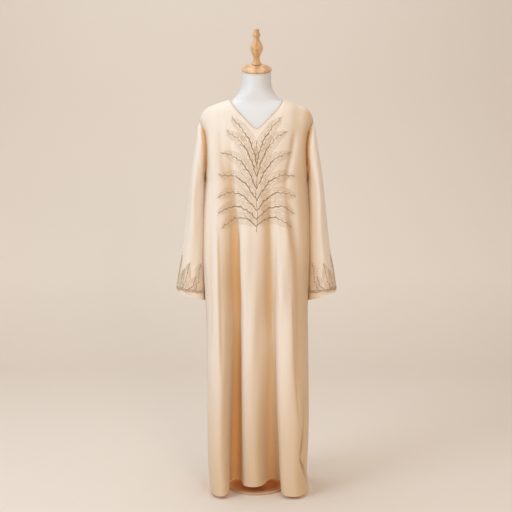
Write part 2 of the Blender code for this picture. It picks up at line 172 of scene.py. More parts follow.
# And on across the back, from the right side seam: three lobes and two shallower troughs.
BACK_HEM = table("x y z", [
    (190, 0, 20),
    (188, 48, 16),
    (178, 95, 13),
    (153, 129, 11),
    (122, 140, 10),
    (97, 129, 11),
    (81, 104, 14),
    (70, 84, 17),
    (56, 78, 18),
    (43, 89, 16),
    (31, 117, 13),
    (12, 136, 11),
    (-11, 138, 11),
    (-31, 124, 13),
    (-45, 99, 16),
    (-57, 85, 18),
    (-72, 91, 17),
    (-86, 116, 13),
    (-106, 136, 11),
    (-130, 140, 10),
    (-153, 125, 11),
    (-169, 92, 13),
    (-173, 46, 17)])

# The same two halves at mid-height, point for point with the hem: lower lobes, set off sideways.
FRONT_MID = table("x y", [
    (-188, 0), (-186, -42), (-177, -78), (-161, -100), (-143, -110), (-125, -109), (-108, -101),
    (-97, -93), (-89, -87), (-80, -80), (-70, -76), (-63, -77), (-58, -88), (-52, -106), (-42, -119),
    (-25, -123), (-5, -121), (14, -115), (30, -109), (44, -103), (56, -99), (64, -98), (69, -105),
    (75, -115), (84, -122), (98, -125), (115, -123), (134, -116), (155, -103), (174, -80), (187, -44)])
BACK_MID = table("x y", [
    (190, 0), (185, 38), (170, 74), (147, 99), (123, 110), (102, 111), (83, 106), (68, 102),
    (56, 100), (44, 105), (25, 114), (6, 120), (-13, 121), (-31, 116), (-50, 107), (-63, 102),
    (-76, 103), (-94, 108), (-113, 110), (-132, 107), (-151, 95), (-170, 72), (-183, 37)])

# The right sleeve's overarm and underarm lines, and half its depth, from armhole to cuff.
SLEEVE_LINES = table("share outer_x outer_z inner_x inner_z depth", [
    (0, 204.5, 1350, 185, 1130, 68),
    (0.02, 206, 1344, 189, 1126, 70),
    (0.1, 209.5, 1331, 191, 1109, 72),
    (0.2, 215.5, 1300, 192.5, 1088, 75),
    (0.3, 223.5, 1250, 194, 1058, 79),
    (0.4, 234, 1190, 195.5, 1020, 81),
    (0.5, 242.5, 1115, 196, 974, 82),
    (0.6, 250, 1032, 196, 918, 82),
    (0.7, 260, 950, 195.5, 862, 80),
    (0.8, 271.5, 866, 194.5, 804, 76),
    (0.9, 283, 799, 192.5, 750, 71),
    (1, 292, 731, 190, 696, 65)], plain="share")

# Sections of the dress form, from the neck's top down; lean is the section's tilt in degrees.
FORM_SECTIONS = table("z y lean half_width front back exponent", [
    (1526, -6, 22, 52.5, 53, 53, 2),
    (1505, -5, 19, 52.5, 53, 53, 2),
    (1484, -4, 14, 53.5, 54, 54, 2),
    (1466, -3, 9, 57, 55.5, 56, 2),
    (1450, -2, 5, 64, 57, 59, 2.1),
    (1438, -1, 2, 71.5, 58.3, 59, 2.2),
    (1428, 0, 0, 81, 59.2, 58.5, 2.4),
    (1421, 0, 0, 89, 59.9, 58.5, 2.4),
    (1415.4, 0, 0, 96, 60.6, 59.5, 2.4),
    (1411, 0, 0, 117, 61.4, 62, 2.3),
    (1401, 0, 0, 147, 65, 69, 2.3),
    (1392, 0, 0, 161, 69.5, 76, 2.4),
    (1375, 0, 0, 170, 78.5, 86, 2.4),
    (1350, 0, 0, 174, 88.5, 97, 2.4),
    (1325, 0, 0, 174, 97, 101, 2.3),
    (1285, 0, 0, 170, 106, 103, 2.2),
    (1240, 0, 0, 164, 111.5, 101, 2.2),
    (1200, 0, 0, 159, 113, 98, 2.2),
    (1130, 0, 0, 146, 105, 89, 2.2),
    (1050, 0, 0, 131, 92, 81, 2.2),
    (980, 0, 0, 135, 86, 84, 2.2),
    (900, 0, 0, 146, 77, 88, 2.2),
    (840, 0, 0, 147, 71, 87, 2.2),
    (815, 0, 0, 141, 66, 82, 2.2),
    (804, 0, 0, 122, 56, 70, 2.2)], plain="lean exponent")

# Turned profiles about the neck's axis: height over the neck's top, and radius.
CAP_PROFILE = table("height radius", [
    (0.3, 51), (1.5, 54.5), (4, 55.8), (7.5, 55), (11.5, 50.5), (15.5, 42), (19, 31), (22, 20), (24, 9)])
FINIAL_PROFILE = table("height radius", [
    (24.3, 9), (24.3, 17.2), (27, 17.4), (30, 15.6), (34, 13.6), (39, 12.4), (45, 11.2), (50, 12),
    (57, 15), (66, 19), (74, 21.6), (77, 22.4), (78.5, 21.6), (80.5, 23.2), (85, 23), (92, 21),
    (100, 17), (108, 12.4), (114, 10.2), (119, 9.8), (122, 11.2), (125, 13), (129, 13.5),
    (133, 12.4), (137, 10.2), (141, 9.4), (147, 9.6), (149.3, 8.4)])

# ---- creases, given one by one ----
# Each is a soft trough (depth below zero) or ridge along a line of (x, z) points on the front or
# the back, with a width to its left and one to its right, all in millimetres.
FRONT_CREASES = [
    # depth, left, right, line
    (-13.0, 32, 6, [(-92, 1290), (-88, 1190), (-82, 1090), (-75, 1000), (-69, 930), (-65, 850),
                    (-62, 710), (-60, 600)]),
    (4.5, 8, 20, [(-60, 1060), (-50, 920), (-47, 780), (-44, 640)]),
    (-10.0, 22, 7, [(46, 1140), (51, 990), (54, 850), (55, 720), (56, 620), (56, 540)]),
    (5.0, 10, 14, [(64, 1070), (75, 920), (82, 780), (90, 640)]),
    (-9.0, 15, 28, [(108, 1200), (112, 1100), (120, 1010), (134, 930), (145, 860), (150, 760),
                    (152, 640), (156, 495), (162, 354), (165, 230)]),
    (-3.0, 3, 9, [(126, 760), (132, 636), (139, 495), (147, 354), (157, 213)]),
    (5.0, 13, 7, [(-142, 1070), (-141, 920), (-139, 780), (-136, 640), (-134, 500), (-130, 360)]),
    (-3.0, 8, 7, [(-166, 1040), (-165, 850), (-163, 640), (-166, 480)]),
    (-1.6, 3, 4, [(-158, 760), (-161, 640), (-165, 520)]),
    (-13.0, 4, 7, [(180, 420), (175, 301), (171, 240), (164, 185), (159, 142), (164, 121),
                   (172, 90), (183, 20)]),
    (-4.0, 12, 10, [(-132, 1330), (-128, 1250), (-118, 1170), (-108, 1090)]),
    (-4.0, 10, 12, [(138, 1320), (128, 1240), (112, 1160), (98, 1080)]),
    (3.0, 12, 12, [(-166, 1290), (-160, 1200), (-152, 1110)]),
]
BACK_CREASES = [
    (-9.0, 16, 12, [(92, 1080), (84, 860), (70, 640), (62, 420)]),
    (5.0, 10, 14, [(44, 1060), (42, 860), (36, 640)]),
    (-9.0, 12, 16, [(-82, 1090), (-76, 880), (-66, 660), (-60, 440)]),
    (5.0, 14, 10, [(-120, 1000), (-124, 800), (-124, 600)]),
    (-5.0, 9, 12, [(8, 1040), (4, 860), (6, 700)]),
    (-4.0, 10, 10, [(-140, 1240), (-124, 1150), (-108, 1060)]),
    (-4.0, 10, 10, [(140, 1240), (126, 1150), (112, 1060)]),
]
CREASES = {"front": FRONT_CREASES, "back": BACK_CREASES}
# Painted shade: the thin dark line where the front is nipped together. It darkens the cloth and doesn't shape
# it.
NIPPED_LINES = {
    "front": [(-13.0, 5, 6, [(178, 380), (174, 266), (171, 215), (165, 165), (161, 142), (167, 121),
                             (173, 103), (178, 70), (183, 43), (187, 20)])],
    "back": [],
}


# ---- curves through table values ----

def through(x, xs, ys):
    """Smooth curve through (xs, ys) read at x: cubic pieces that never swing past their own ends."""
    order = np.argsort(xs)
    xs, ys = np.asarray(xs)[order], np.asarray(ys)[order]
    step = np.diff(xs)
    rise = np.diff(ys) / step
    slope = np.zeros_like(ys)
    same_way = rise[:-1] * rise[1:] > 0
    before, after = 2 * step[1:] + step[:-1], step[1:] + 2 * step[:-1]
    safe = np.where(same_way, rise[:-1] * rise[1:], 1.0)
    mean = (before + after) * safe / (before * rise[1:] + after * rise[:-1] + (~same_way))
    slope[1:-1] = np.where(same_way, mean, 0.0)
    slope[0], slope[-1] = rise[0], rise[-1]
    x = np.clip(x, xs[0], xs[-1])
    i = np.clip(np.searchsorted(xs, x, side="right") - 1, 0, len(step) - 1)
    t = (x - xs[i]) / step[i]
    return (ys[i] * (1 + 2 * t) * (1 - t) ** 2 + slope[i] * step[i] * t * (1 - t) ** 2
            + ys[i + 1] * t * t * (3 - 2 * t) - slope[i + 1] * step[i] * t * t * (1 - t))


def lookup(rows, name, place, by="z"):
    """One column of a table as a smooth curve, read at places of another column."""
    return through(place, rows[by], rows[name])


def smooth_curve(points, per_span=24, closed=False):
    """Points along Catmull-Rom cubic spans through the given ones."""
    points = np.asarray(points, float)
    if closed:
        p0, p1, p2, p3 = (np.roll(points, k, 0) for k in (1, 0, -1, -2))
    else:
        wide = np.concatenate([2 * points[:1] - points[1:2], points, 2 * points[-1:] - points[-2:-1]])
        p0, p1, p2, p3 = wide[:-3], wide[1:-2], wide[2:-1], wide[3:]
    t = (np.arange(per_span) / per_span)[None, :, None]
    p0, p1, p2, p3 = (p[:, None, :] for p in (p0, p1, p2, p3))
    curve = 0.5 * (2 * p1 + (p2 - p0) * t + (2 * p0 - 5 * p1 + 4 * p2 - p3) * t ** 2
                   + (3 * p1 - p0 - 3 * p2 + p3) * t ** 3)
    curve = curve.reshape(-1, points.shape[1])
    return curve if closed else np.concatenate([curve, points[-1:]])


def arc(points):
    """Length along a polyline at each of its points."""
    return np.concatenate([[0], np.cumsum(np.linalg.norm(np.diff(points, axis=0), axis=1))])


def read(values, at, places):
    """Rows of values that are known at some places along a line, read at others."""
    return np.stack([np.interp(places, at, column) for column in values.T], axis=-1)


def along(curve, shares):
    """Points at the given shares of a polyline's length."""
    length = arc(curve)
    return read(curve, length, shares * length[-1])


def spaced(curve, step):
    """Points along a polyline about one step apart."""
    count = max(2, int(round(arc(curve)[-1] / step)) + 1)
    return along(curve, np.linspace(0, 1, count))


# ---- the robe's surfaces ----

def depth(x, z, side):
    """Distance of the body from the middle plane: y = reach (1 - |x / width|^n)^(1/n)."""
    width = lookup(BODY_RINGS, "half_width", z)
    reach = lookup(BODY_RINGS, side, z)
    return reach * np.clip(1 - np.abs(x / width) ** RING_EXPONENT, 0, 1) ** (1 / RING_EXPONENT)


def yoke_normals(points):
    """Outward unit normals of the yoke: the gradient of |x / width|^n + |y / reach|^n."""
    x, y, z = points[..., 0], points[..., 1], points[..., 2]
    side = "front" if y.mean() < 0 else "back"
    step = 0.0005
    values = []
    for height in (z - step, z + step, z):
        width = lookup(BODY_RINGS, "half_width", height)
        reach = lookup(BODY_RINGS, side, height)
        values.append(np.abs(x / width) ** RING_EXPONENT + np.abs(y / reach) ** RING_EXPONENT)
    power = RING_EXPONENT - 1
    n = np.stack([np.sign(x) * np.abs(x / width) ** power / width,
                  np.sign(y) * np.abs(y / reach) ** power / reach,
                  (values[1] - values[0]) / (2 * step) / RING_EXPONENT], axis=-1)
    return n / np.linalg.norm(n, axis=-1, keepdims=True)


def ridge_z(x):
    """Height of the shoulder ridge at x: where the section's half width is that x."""
    z = np.linspace(SHOULDER_Z, BODY_RINGS["z"][0], 4001)
    return np.interp(-np.abs(x), -lookup(BODY_RINGS, "half_width", z), z)


def armhole(z, side):
    """The armhole's edge at height z: an ellipse seen from the side, laid on the body."""
    middle, half = (SHOULDER_Z + UNDERARM_Z) / 2, (SHOULDER_Z - UNDERARM_Z) / 2
    away = ARMHOLE_REACH[side] * np.sqrt(np.clip(1 - ((z - middle) / half) ** 2, 0, 1))
    width = lookup(BODY_RINGS, "half_width", z)
    body = lookup(BODY_RINGS, side, z)
    x = width * (1 - (away / body) ** RING_EXPONENT) ** (1 / RING_EXPONENT)
    return np.where(z > SHOULDER_Z, SHOULDER_HALF, x), away


def half_loops(side):
    """Sections at the underarm, mid-height and the hem, from one side seam to the other.

    The last two run point for point, so that a fold keeps its place in the cloth.
    """
    turn = np.linspace(-np.pi / 2, np.pi / 2, 1441)
    x = UNDERARM_HALF * np.sign(np.sin(turn)) * np.abs(np.sin(turn)) ** (2 / RING_EXPONENT)
    y = SIGN[side] * BODY_RINGS[side][-1] * np.abs(np.cos(turn)) ** (2 / RING_EXPONENT)
    halves = []
    for front, back in ((FRONT_MID, BACK_MID), (FRONT_HEM, BACK_HEM)):
        points = np.concatenate([np.stack(list(k.values()), 1) for k in (front, back)])
        curve = smooth_curve(points, closed=True)
        split = 24 * len(front["x"])
        halves.append(curve[:split + 1] if side == "front"
                      else np.concatenate([curve[split:], curve[:1]])[::-1])
    return np.stack([x, y], 1), halves[0], halves[1]


def loops(side, shares):
    """Points of the three sections at shares of the cloth's width.

    A share is the mean of the shares of the two lower sections' lengths, and the underarm's
    section is cut as the mid-height one.
    """
    top, mid, hem = half_loops(side)
    mid_share, hem_share = (arc(k[:, :2]) / arc(k[:, :2])[-1] for k in (mid, hem))
    index = np.arange(len(mid))
    place = np.interp(shares, (mid_share + hem_share) / 2, index)
    return along(top, np.interp(place, index, mid_share)), read(mid, index, place), read(hem, index, place)


def column_shares(side):
    """Columns as shares of the cloth's width, crowded where the neckline runs back to the ridge."""
    fine = np.linspace(0, 1, 8001)
    across = loops(side, fine)[0][:, 0] / UNDERARM_HALF
    left, right = np.interp([-NECK_HALF, NECK_HALF], across * SHOULDER_HALF, fine)
    near = (fine > left) & (fine < right)
    z = yoke_top(across[near], side)
    x = across[near] * armhole(z, side)[0]
    length = arc(np.stack([x, depth(x, z, side), z], 1))
    measure = length / length[-1] + np.linspace(0, 1, near.sum())
    count = int(round((right - left) * BODY_COLUMNS / 2))
    middle = np.interp(0, x, measure)
    steps = np.concatenate([np.linspace(0, middle, count + 1)[1:],
                            np.linspace(middle, measure[-1], count + 1)[1:-1]])
    outside = BODY_COLUMNS // 2 - count
    return np.concatenate([np.linspace(0, left, outside + 1), np.interp(steps, measure, fine[near]),
                           np.linspace(right, 1, outside + 1)])


def yoke_top(across, side):
    """Height of a column's upper end: the shoulder ridge, the V in front, the dip behind."""
    z = np.full_like(across, SHOULDER_Z)
    for _ in range(12):
        x = np.abs(across * armhole(z, side)[0])
        if side == "front":
            v = (NECK_FRONT_Z + NECK_SLOPE * (np.hypot(x, NECK_TIP_RADIUS) - NECK_TIP_RADIUS)
                 + NECK_LIFT * (x / NECK_HALF) ** 12)
        else:
            v = BODY_RINGS["z"][0] - NECK_BACK_DROP * np.clip(1 - (x / NECK_HALF) ** 2, 0, 1)
        z = np.where(x >= NECK_HALF * 0.999, ridge_z(x), np.minimum(v, BODY_RINGS["z"][0]))
    return z


def body_points(side):
    """The plain body: yoke rows down each column, then straight folds between underarm and hem."""
    sign = SIGN[side]
    shares = column_shares(side)
    across = loops(side, shares)[0][:, 0] / UNDERARM_HALF
    fine = (1 - np.cos(np.linspace(0, np.pi, 401))) / 2
    rows = np.linspace(0, 1, YOKE_ROWS + 1)
    yoke = np.empty((YOKE_ROWS + 1, len(shares), 3))
    for j, (s, start) in enumerate(zip(across, yoke_top(across, side))):
        z = start + (UNDERARM_Z - start) * fine
        edge, away = armhole(z, side)
        y = away if abs(s) > 0.999999 else depth(s * edge, z, side)
        yoke[:, j] = along(np.stack([s * edge, sign * y, z], 1), rows)
    return np.concatenate([yoke, skirt(side, shares)])


def skirt_plan(side, shares, down):
    """The folds in plan at shares of the way down: a parabola through the three sections."""
    top, mid, hem = loops(side, shares)
    s = down ** FOLD_GROWTH
    m = ((UNDERARM_Z - MID_Z) / (UNDERARM_Z - HEM_Z)) ** FOLD_GROWTH
    parts = ((s - m) * (s - 1) / m, s * (1 - s) / (m * (1 - m)), s * (s - m) / (1 - m))
    return sum(part[..., None] * loop[:, :2] for part, loop in zip(parts, (top, mid, hem)))


def skirt(side, shares):
    """The cloth from the underarm to the hem, its folds set to the skirt's widths."""
    down = np.linspace(0, 1, SKIRT_ROWS + 1)[1:, None]
    z = UNDERARM_Z + (HEM_Z - UNDERARM_Z) * down
    fine = np.linspace(0, 1, 401)
    whole = np.concatenate([skirt_plan(k, fine, down)[..., 0] for k in ("front", "back")], axis=1)
    left = lookup(SKIRT_WIDTHS, "left", z) / -whole.min(axis=1, keepdims=True)
    right = lookup(SKIRT_WIDTHS, "right", z) / whole.max(axis=1, keepdims=True)
    x, y = np.moveaxis(skirt_plan(side, shares, down), -1, 0)
    hem_z = loops(side, shares)[2][:, 2]
    return np.stack([x * np.where(x < 0, left, right), y,
                     z + (hem_z - HEM_Z) * down ** HEM_EASE], axis=-1)


def normals(grid, around=False):
    """Unit normals of a grid of points: the cross product of its rows' and columns' steps."""
    if around:
        wide = np.concatenate([grid[:, -1:], grid, grid[:, :1]], axis=1)
        across = (wide[:, 2:] - wide[:, :-2]) / 2
    else:
        across = np.gradient(grid, axis=1)
    n = np.cross(np.gradient(grid, axis=0), across)
    return n / np.maximum(np.linalg.norm(n, axis=2, keepdims=True), 1e-12)


def smoothstep(t):
    """From 0 to 1 with level ends: t^2 (3 - 2 t)."""
    t = np.clip(t, 0, 1)
    return t * t * (3 - 2 * t)


def crease_field(u, v, creases):
    """Sum of troughs and ridges at points (u, v): depth x bell(signed distance / width) x end fade.

    The distance is measured to the nearest point of each crease's line. The bell is
    exp(-d^2), with one width on the line's left and another on its right. The second result is
    painted shade: how deep in a trough each point lies, with the bell moved onto the trough's
    left wall, which faces away from the main light.
    """
    total, shade = np.zeros_like(u), np.zeros_like(u)
    place = np.stack([u, v], axis=-1)
    for height, left, right, line in creases:
        line = smooth_curve(np.array(line) * 0.001, per_span=5)
        length = arc(line)
        best = np.full(u.shape, 1e9)
        share, signed = np.zeros_like(u), np.zeros_like(u)
        for a, b, start in zip(line[:-1], line[1:], length[:-1]):
            step = b - a
            size = np.linalg.norm(step)
            t = np.clip(((place - a) @ step) / size ** 2, 0, 1)
            gap = place - (a + t[..., None] * step)
            d = np.hypot(gap[..., 0], gap[..., 1])
            near = d < best
            best = np.where(near, d, best)
            share = np.where(near, (start + t * size) / length[-1], share)
            turn = step[0] * gap[..., 1] - step[1] * gap[..., 0]
            signed = np.where(near, np.sign(turn) * d, signed)
        width = np.where(signed > 0, right, left) * 0.001
        fade = smoothstep(share / 0.28) * smoothstep((1 - share) / 0.28)
        total += height * 0.001 * np.exp(-(signed / width) ** 2) * fade
        if height < 0:
            moved = signed + 0.00025 * left
            wide = np.where(moved > 0, 0.25 * left + 0.35 * right, left) * 0.001
            shade -= height * 0.001 * np.exp(-(moved / wide) ** 2) * fade
    return total, shade


def ripple(u, v, waves):
    """A slow unevenness: the sum of sine waves (height mm, waves per metre along u and v, phase)."""
    return sum(h * 0.001 * np.sin(2 * np.pi * (a * u + b * v) + c) for h, a, b, c in waves)


FLATTEN = 0.006        # how far the sleeves' and the sides' round edges are squared off
FLAT_BAND = 0.09       # share of the cloth's width over which a side is squared off
SLEEVE_LEAN = 0.0026   # how far the sleeves lean on the body
SEAM_DIP = 0.005       # how far the armhole seams draw the cloth in
# The whole tint below is the full painted shade of a fold.
FULL_TROUGH = 0.013    # a crease this deep takes the whole tint
HOLLOW_SPAN = 0.09     # share of the cloth's width over which a fold's depth is judged
HOLLOW_DEPTH = 0.030   # a fold this much deeper than the cloth about it takes the whole tint
BODY_RIPPLE = [(0.9, 5.3, 1.1, 0.4), (0.7, 8.1, -1.7, 2.1), (0.5, 13.7, 2.3, 4.0), (0.35, 21.0, 1.3, 1.2)]
SLEEVE_RIPPLE = [(0.8, 6.1, 2.2, 1.0), (0.6, 11.0, -3.1, 0.3), (0.4, 17.0, 4.2, 2.2)]


def joined(*shares):
    """Shares laid over one another, never more than the whole: 1 - (1 - a) (1 - b) and so on."""
    left = 1.0
    for share in shares:
        left = left * (1 - share)
    return 1 - left


def seam_dip(z):
    """How far an armhole's seam draws in at height z, fading out at the shoulder and underarm."""
    return SEAM_DIP * smoothstep((z - UNDERARM_Z - 0.01) / 0.05) * smoothstep((SHOULDER_Z - z) / 0.05)


@functools.lru_cache(maxsize=None)
def body_surface(side):
    """The front's or back's outer points with their creases, and two painted shades of each point.

    The painted shades are how deep the point lies in a fold, and how dark a nipped line is there.
    """
    sign = SIGN[side]
    plain = body_points(side)
    x, z = plain[..., 0], plain[..., 2]
    rows = np.arange(len(plain))[:, None]
    shares = column_shares(side)
    inwards = np.minimum(shares, 1 - shares)
    n = normals(plain) * -sign
    n[:YOKE_ROWS + 1] = yoke_normals(plain[:YOKE_ROWS + 1])
    lift, shade = crease_field(x, z, CREASES[side])
    lift += ripple(x * sign, z, BODY_RIPPLE)
    band = inwards / FLAT_BAND
    level = smoothstep((z - 0.62) / 0.1) * smoothstep((1.16 - z) / 0.08)
    lift = lift + FLATTEN * np.clip(band * (1 - band) * 4, 0, 1) * level
    free = smoothstep(rows / 10) * smoothstep(inwards / 0.05)
    drawn = seam_dip(z) * np.exp(-((1 - np.abs(x / armhole(z, side)[0])) / 0.065) ** 2)
    drawn[YOKE_ROWS:] = 0
    grid = plain + n * (lift * free)[..., None]
    grid[..., 1] -= sign * drawn
    ridge = np.abs(grid[0, :, 0]) >= NECK_HALF * 0.999
    grid[0, ridge, 1] = sign * SEAM / 2
    grid[YOKE_ROWS:, [0, -1], 1] = sign * SEAM / 2
    return grid, *body_painted_shade(side, grid, (x, z), (rows, shares, inwards), shade, drawn / SEAM_DIP)


def body_painted_shade(side, grid, place, cells, shade, seam):
    """Painted shade on the front or back: how deep each point lies in a fold, and how dark a line is.

    A fold's depth is the mean of the columns about it, weighted by exp(-d^2), less its own. To
    that are added painted shade on the creases, on the cloth turned to +X away from the main
    light, the low skirt, the strip that hangs beside a sleeve, the armhole's seam and the pit under
    it. The seams' painted shade is deeper on the right, which lies away from the main light.
    """
    sign = SIGN[side]
    (x, z), (rows, shares, inwards) = place, cells
    right = x > 0
    weight = np.exp(-((shares[:, None] - shares) / HOLLOW_SPAN) ** 2)
    weight /= weight.sum(axis=1, keepdims=True)
    outwards = sign * grid[..., 1]
    hollow = smoothstep((outwards @ weight.T - outwards) / HOLLOW_DEPTH)
    hollow = hollow * smoothstep((rows - YOKE_ROWS + 5) / 23)
    hollow = hollow * smoothstep(inwards / 0.06) * np.where(right, 0.5, 1.0)
    beside_sleeve = 0.9 * (smoothstep(1 - inwards / 0.05) * smoothstep((z - 0.66) / 0.1))
    beside_sleeve = beside_sleeve * smoothstep((1.25 - z) / 0.1)
    low = 0.8 * smoothstep((0.62 - z) / 0.60)
    turned_away = 0.8 * smoothstep(normals(grid)[..., 0] * -sign * 1.4)
    soft = joined(low, turned_away, beside_sleeve, np.clip(shade / FULL_TROUGH, 0, 1),
                  1 - (1 - seam) ** np.where(right, 2, 0.6))
    pit = smoothstep((z - 0.98) / 0.08) * smoothstep((1.22 - z) / 0.06) * smoothstep(1 - inwards / 0.04)
    # Painted shade along the nipped lines.
    nipped = np.clip(crease_field(x, z, NIPPED_LINES[side])[1] / FULL_TROUGH, 0, 1)
    return (joined(0.5 * soft, hollow, np.where(right, 0.9, 0.2) * seam ** 4, 0.9 * pit),
            np.maximum(0.75 * nipped, np.where(right, 0.9, 0.35) * seam ** 9))


@functools.lru_cache(maxsize=None)
def sleeve_surface():
    """Outer points of the right sleeve: slanting oval loops from the armhole's edge to the cuff.

    A loop at share v lies between the overarm and underarm lines: middle + half span x cos, and
    depth x sin. Near the armhole it is eased onto the armhole's edge. With the points come how
    far the seam draws each one in, as a share, and its place round (u) and down (v) the sleeve.
    """
    angle = np.linspace(0, 2 * np.pi, SLEEVE_COLUMNS, endpoint=False)
    v = np.concatenate([[0], np.linspace(CAP_TURN, 1, SLEEVE_ROWS)])
    ox, oz, ix, iz, reach = (lookup(SLEEVE_LINES, k, v, "share")[:, None]
                             for k in "outer_x outer_z inner_x inner_z depth".split())
    x = (ox + ix) / 2 + (ox - ix) / 2 * np.cos(angle)
    z = (oz + iz) / 2 + (oz - iz) / 2 * np.cos(angle)
    outer = np.stack([x, -reach * np.sin(angle), z], axis=-1)
    front = np.sin(angle) >= 0
    middle, half = (SHOULDER_Z + UNDERARM_Z) / 2, (SHOULDER_Z - UNDERARM_Z) / 2
    height = middle + half * np.cos(angle)
    edge = np.where(front, armhole(height, "front"), armhole(height, "back"))
    edge = np.stack([edge[0], np.where(front, -1, 1) * edge[1], height], axis=-1)
    outer += (edge - outer[0]) * np.clip(1 - v / CAP_SHARE, 0, 1)[:, None, None] ** 2
    outer[0] += np.stack([0 * angle + 1, np.sin(angle), -np.cos(angle)], axis=1) * SLEEVE_GAP
    n = -normals(outer, around=True)
    u = angle / (2 * np.pi)
    wide_u, wide_v = np.meshgrid(u, v)
    lift = ripple(wide_u * 0.5, wide_v * 0.62, SLEEVE_RIPPLE)
    lift += sleeve_folds(wide_u, wide_v)
    lift += FLATTEN * np.abs(np.sin(4 * np.pi * wide_u)) ** 1.5 * np.where(wide_u < 0.25, 0.3, 1.1)
    lean = SLEEVE_LEAN * smoothstep(1 - np.abs(wide_u - 0.5) / 0.2) * smoothstep(wide_v / 0.06)
    free = smoothstep((wide_v - 0.02) / 0.12)
    drawn = seam_dip(height) * np.exp(-(v[:, None] / 0.045) ** 2)
    outer = outer + n * (lift * free + lean)[..., None]
    outer[..., 1] -= np.where(front, -1, 1) * drawn
    return outer, drawn / SEAM_DIP, wide_u, wide_v


def sleeve_painted_shade(side, drawn, u, v):
    """Painted shade on a sleeve: how deep each point lies in shade, and how dark its armhole's line is."""
    right = side == "right"
    under = np.abs(u - 0.5)
    warm = 0.7 * smoothstep(1 - under / (0.32 if right else 0.2))
    warm *= np.maximum(smoothstep(v / 0.04), smoothstep(1 - under / 0.2))
    pit = smoothstep(1 - np.abs(under - 0.07) / 0.15) * smoothstep((0.36 - v) / 0.3)
    return (joined(warm, 0.9 * drawn, 0.9 * pit),
            (0.9 if right else 0.4) * drawn ** 6 * smoothstep((0.06 - v) / 0.05))


# Folds down the sleeve: place round the loop (0 overarm, 0.25 front, 0.5 underarm), its drift to
# the cuff, where the fold starts and ends, its depth in millimetres and its width round the loop.
SLEEVE_FOLDS = table("place drift start end depth width", [
    (0.40, 0.00, 0.05, 1.20, 2.5, 0.035),
    (0.32, -0.01, 0.08, 1.10, -3.0, 0.045),
    (0.21, 0.01, 0.20, 1.10, 3.0, 0.045),
    (0.12, -0.01, 0.35, 1.05, -2.5, 0.035),
    (0.64, -0.02, 0.30, 1.05, -3.5, 0.04),
    (0.74, 0.02, 0.22, 1.00, 3.0, 0.05),
    (0.86, 0.00, 0.40, 1.05, -2.5, 0.035)], plain="place drift start end depth width")


def sleeve_folds(u, v):
    """Sum of bells round the loop, each fading in and out along the sleeve."""
    total = 0 * u
    for place, drift, start, end, height, width in zip(*SLEEVE_FOLDS.values()):
        d = (u - place - drift * v + 0.5) % 1 - 0.5
        fade = smoothstep((v - start) / 0.25) * smoothstep((end - v) / 0.25)
        total = total + height * 0.001 * np.exp(-(d / width) ** 2) * fade
    return total


# ---- meshes ----

def add_piece(name, points, faces, finish, node_names=(), uv=None, sharp=50):
    """One named object from points and faces, smooth but for its sharp edges."""
    mesh = bpy.data.meshes.new(name)
    mesh.from_pydata(np.asarray(points).reshape(-1, 3).tolist(), [], faces)
    mesh.materials.append(finish)
    if uv is not None:
        layer = mesh.uv_layers.new(name="cloth")
        layer.data.foreach_set("uv", np.asarray(uv, np.float32).ravel())
    mesh.shade_smooth()
    mesh.set_sharp_from_angle(angle=np.radians(sharp))
    piece = bpy.data.objects.new(name, mesh)
    bpy.context.collection.objects.link(piece)
    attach(piece, "root")
    if node_names:
        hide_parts(*node_names)
    return piece


def grid_corners(rows, columns, around=False):
    """Row and column of each quad's four corners; on a tube the last column is one past the end."""
    i, j = np.meshgrid(np.arange(rows - 1), np.arange(columns if around else columns - 1), indexing="ij")
    return (np.stack([i, i + 1, i + 1, i], -1).reshape(-1, 4),
            np.stack([j, j, j + 1, j + 1], -1).reshape(-1, 4))


def shell(name, outer, outward, thickness, finish, nodes, around=False, flip=False):
    """A thin closed shell: the outer grid, the same grid moved in, and a rim on each free edge.

    The map is the cloth laid flat: u is the length along a middle row, v along a middle column.
    """
    rows, columns = outer.shape[:2]
    inner = outer - outward * thickness
    count = rows * columns
    i, j = grid_corners(rows, columns, around)
    quads = i * columns + j % columns
    wide = np.concatenate([outer, outer[:, :1]], axis=1) if around else outer
    u = arc(wide[rows // 2])
    v = arc(outer[:, columns // 2])
    uv = np.stack([u[j], v[i]], -1)
    edge = np.arange(columns if around else columns - 1)
    after = (edge + 1) % columns
    low = (rows - 1) * columns
    rims = [(after, edge), (low + edge, low + after)]
    rim_uv = [np.stack([u[edge + 1], u[edge]], -1), np.stack([u[edge], u[edge + 1]], -1)]
    if not around:
        side = np.arange(rows - 1) * columns
        rims += [(side, side + columns), (side + 2 * columns - 1, side + columns - 1)]
        rim_uv += [np.stack([v[:-1], v[1:]], -1), np.stack([v[1:], v[:-1]], -1)]
    a, b = (np.concatenate([r[k] for r in rims]) for k in (0, 1))
    strips = np.stack([b, a, a + count, b + count], -1)
    ab = np.concatenate(rim_uv)
    strip_uv = np.stack([np.stack([ab[:, 1], ab[:, 0], ab[:, 0], ab[:, 1]], -1),
                         np.array([[0, 0, thickness, thickness]]) + 0 * strips], -1)
    faces = np.concatenate([quads, quads[:, ::-1] + count, strips])
    all_uv = np.concatenate([uv, uv[:, ::-1], strip_uv])
    if flip:
        faces, all_uv = faces[:, ::-1], all_uv[:, ::-1]
    points = np.concatenate([outer.reshape(-1, 3), inner.reshape(-1, 3)])
    return add_piece(name, points, faces.tolist(), finish, nodes, all_uv)


def set_painted_shades(piece, trough, line):
    """The two painted shades of each point of a shell, the same on its two layers."""
    for name, values in (("trough", trough), ("line", line)):
        layer = piece.data.attributes.new(name, "FLOAT", "POINT")
        layer.data.foreach_set("value", np.tile(np.ravel(values), 2).astype(np.float32))


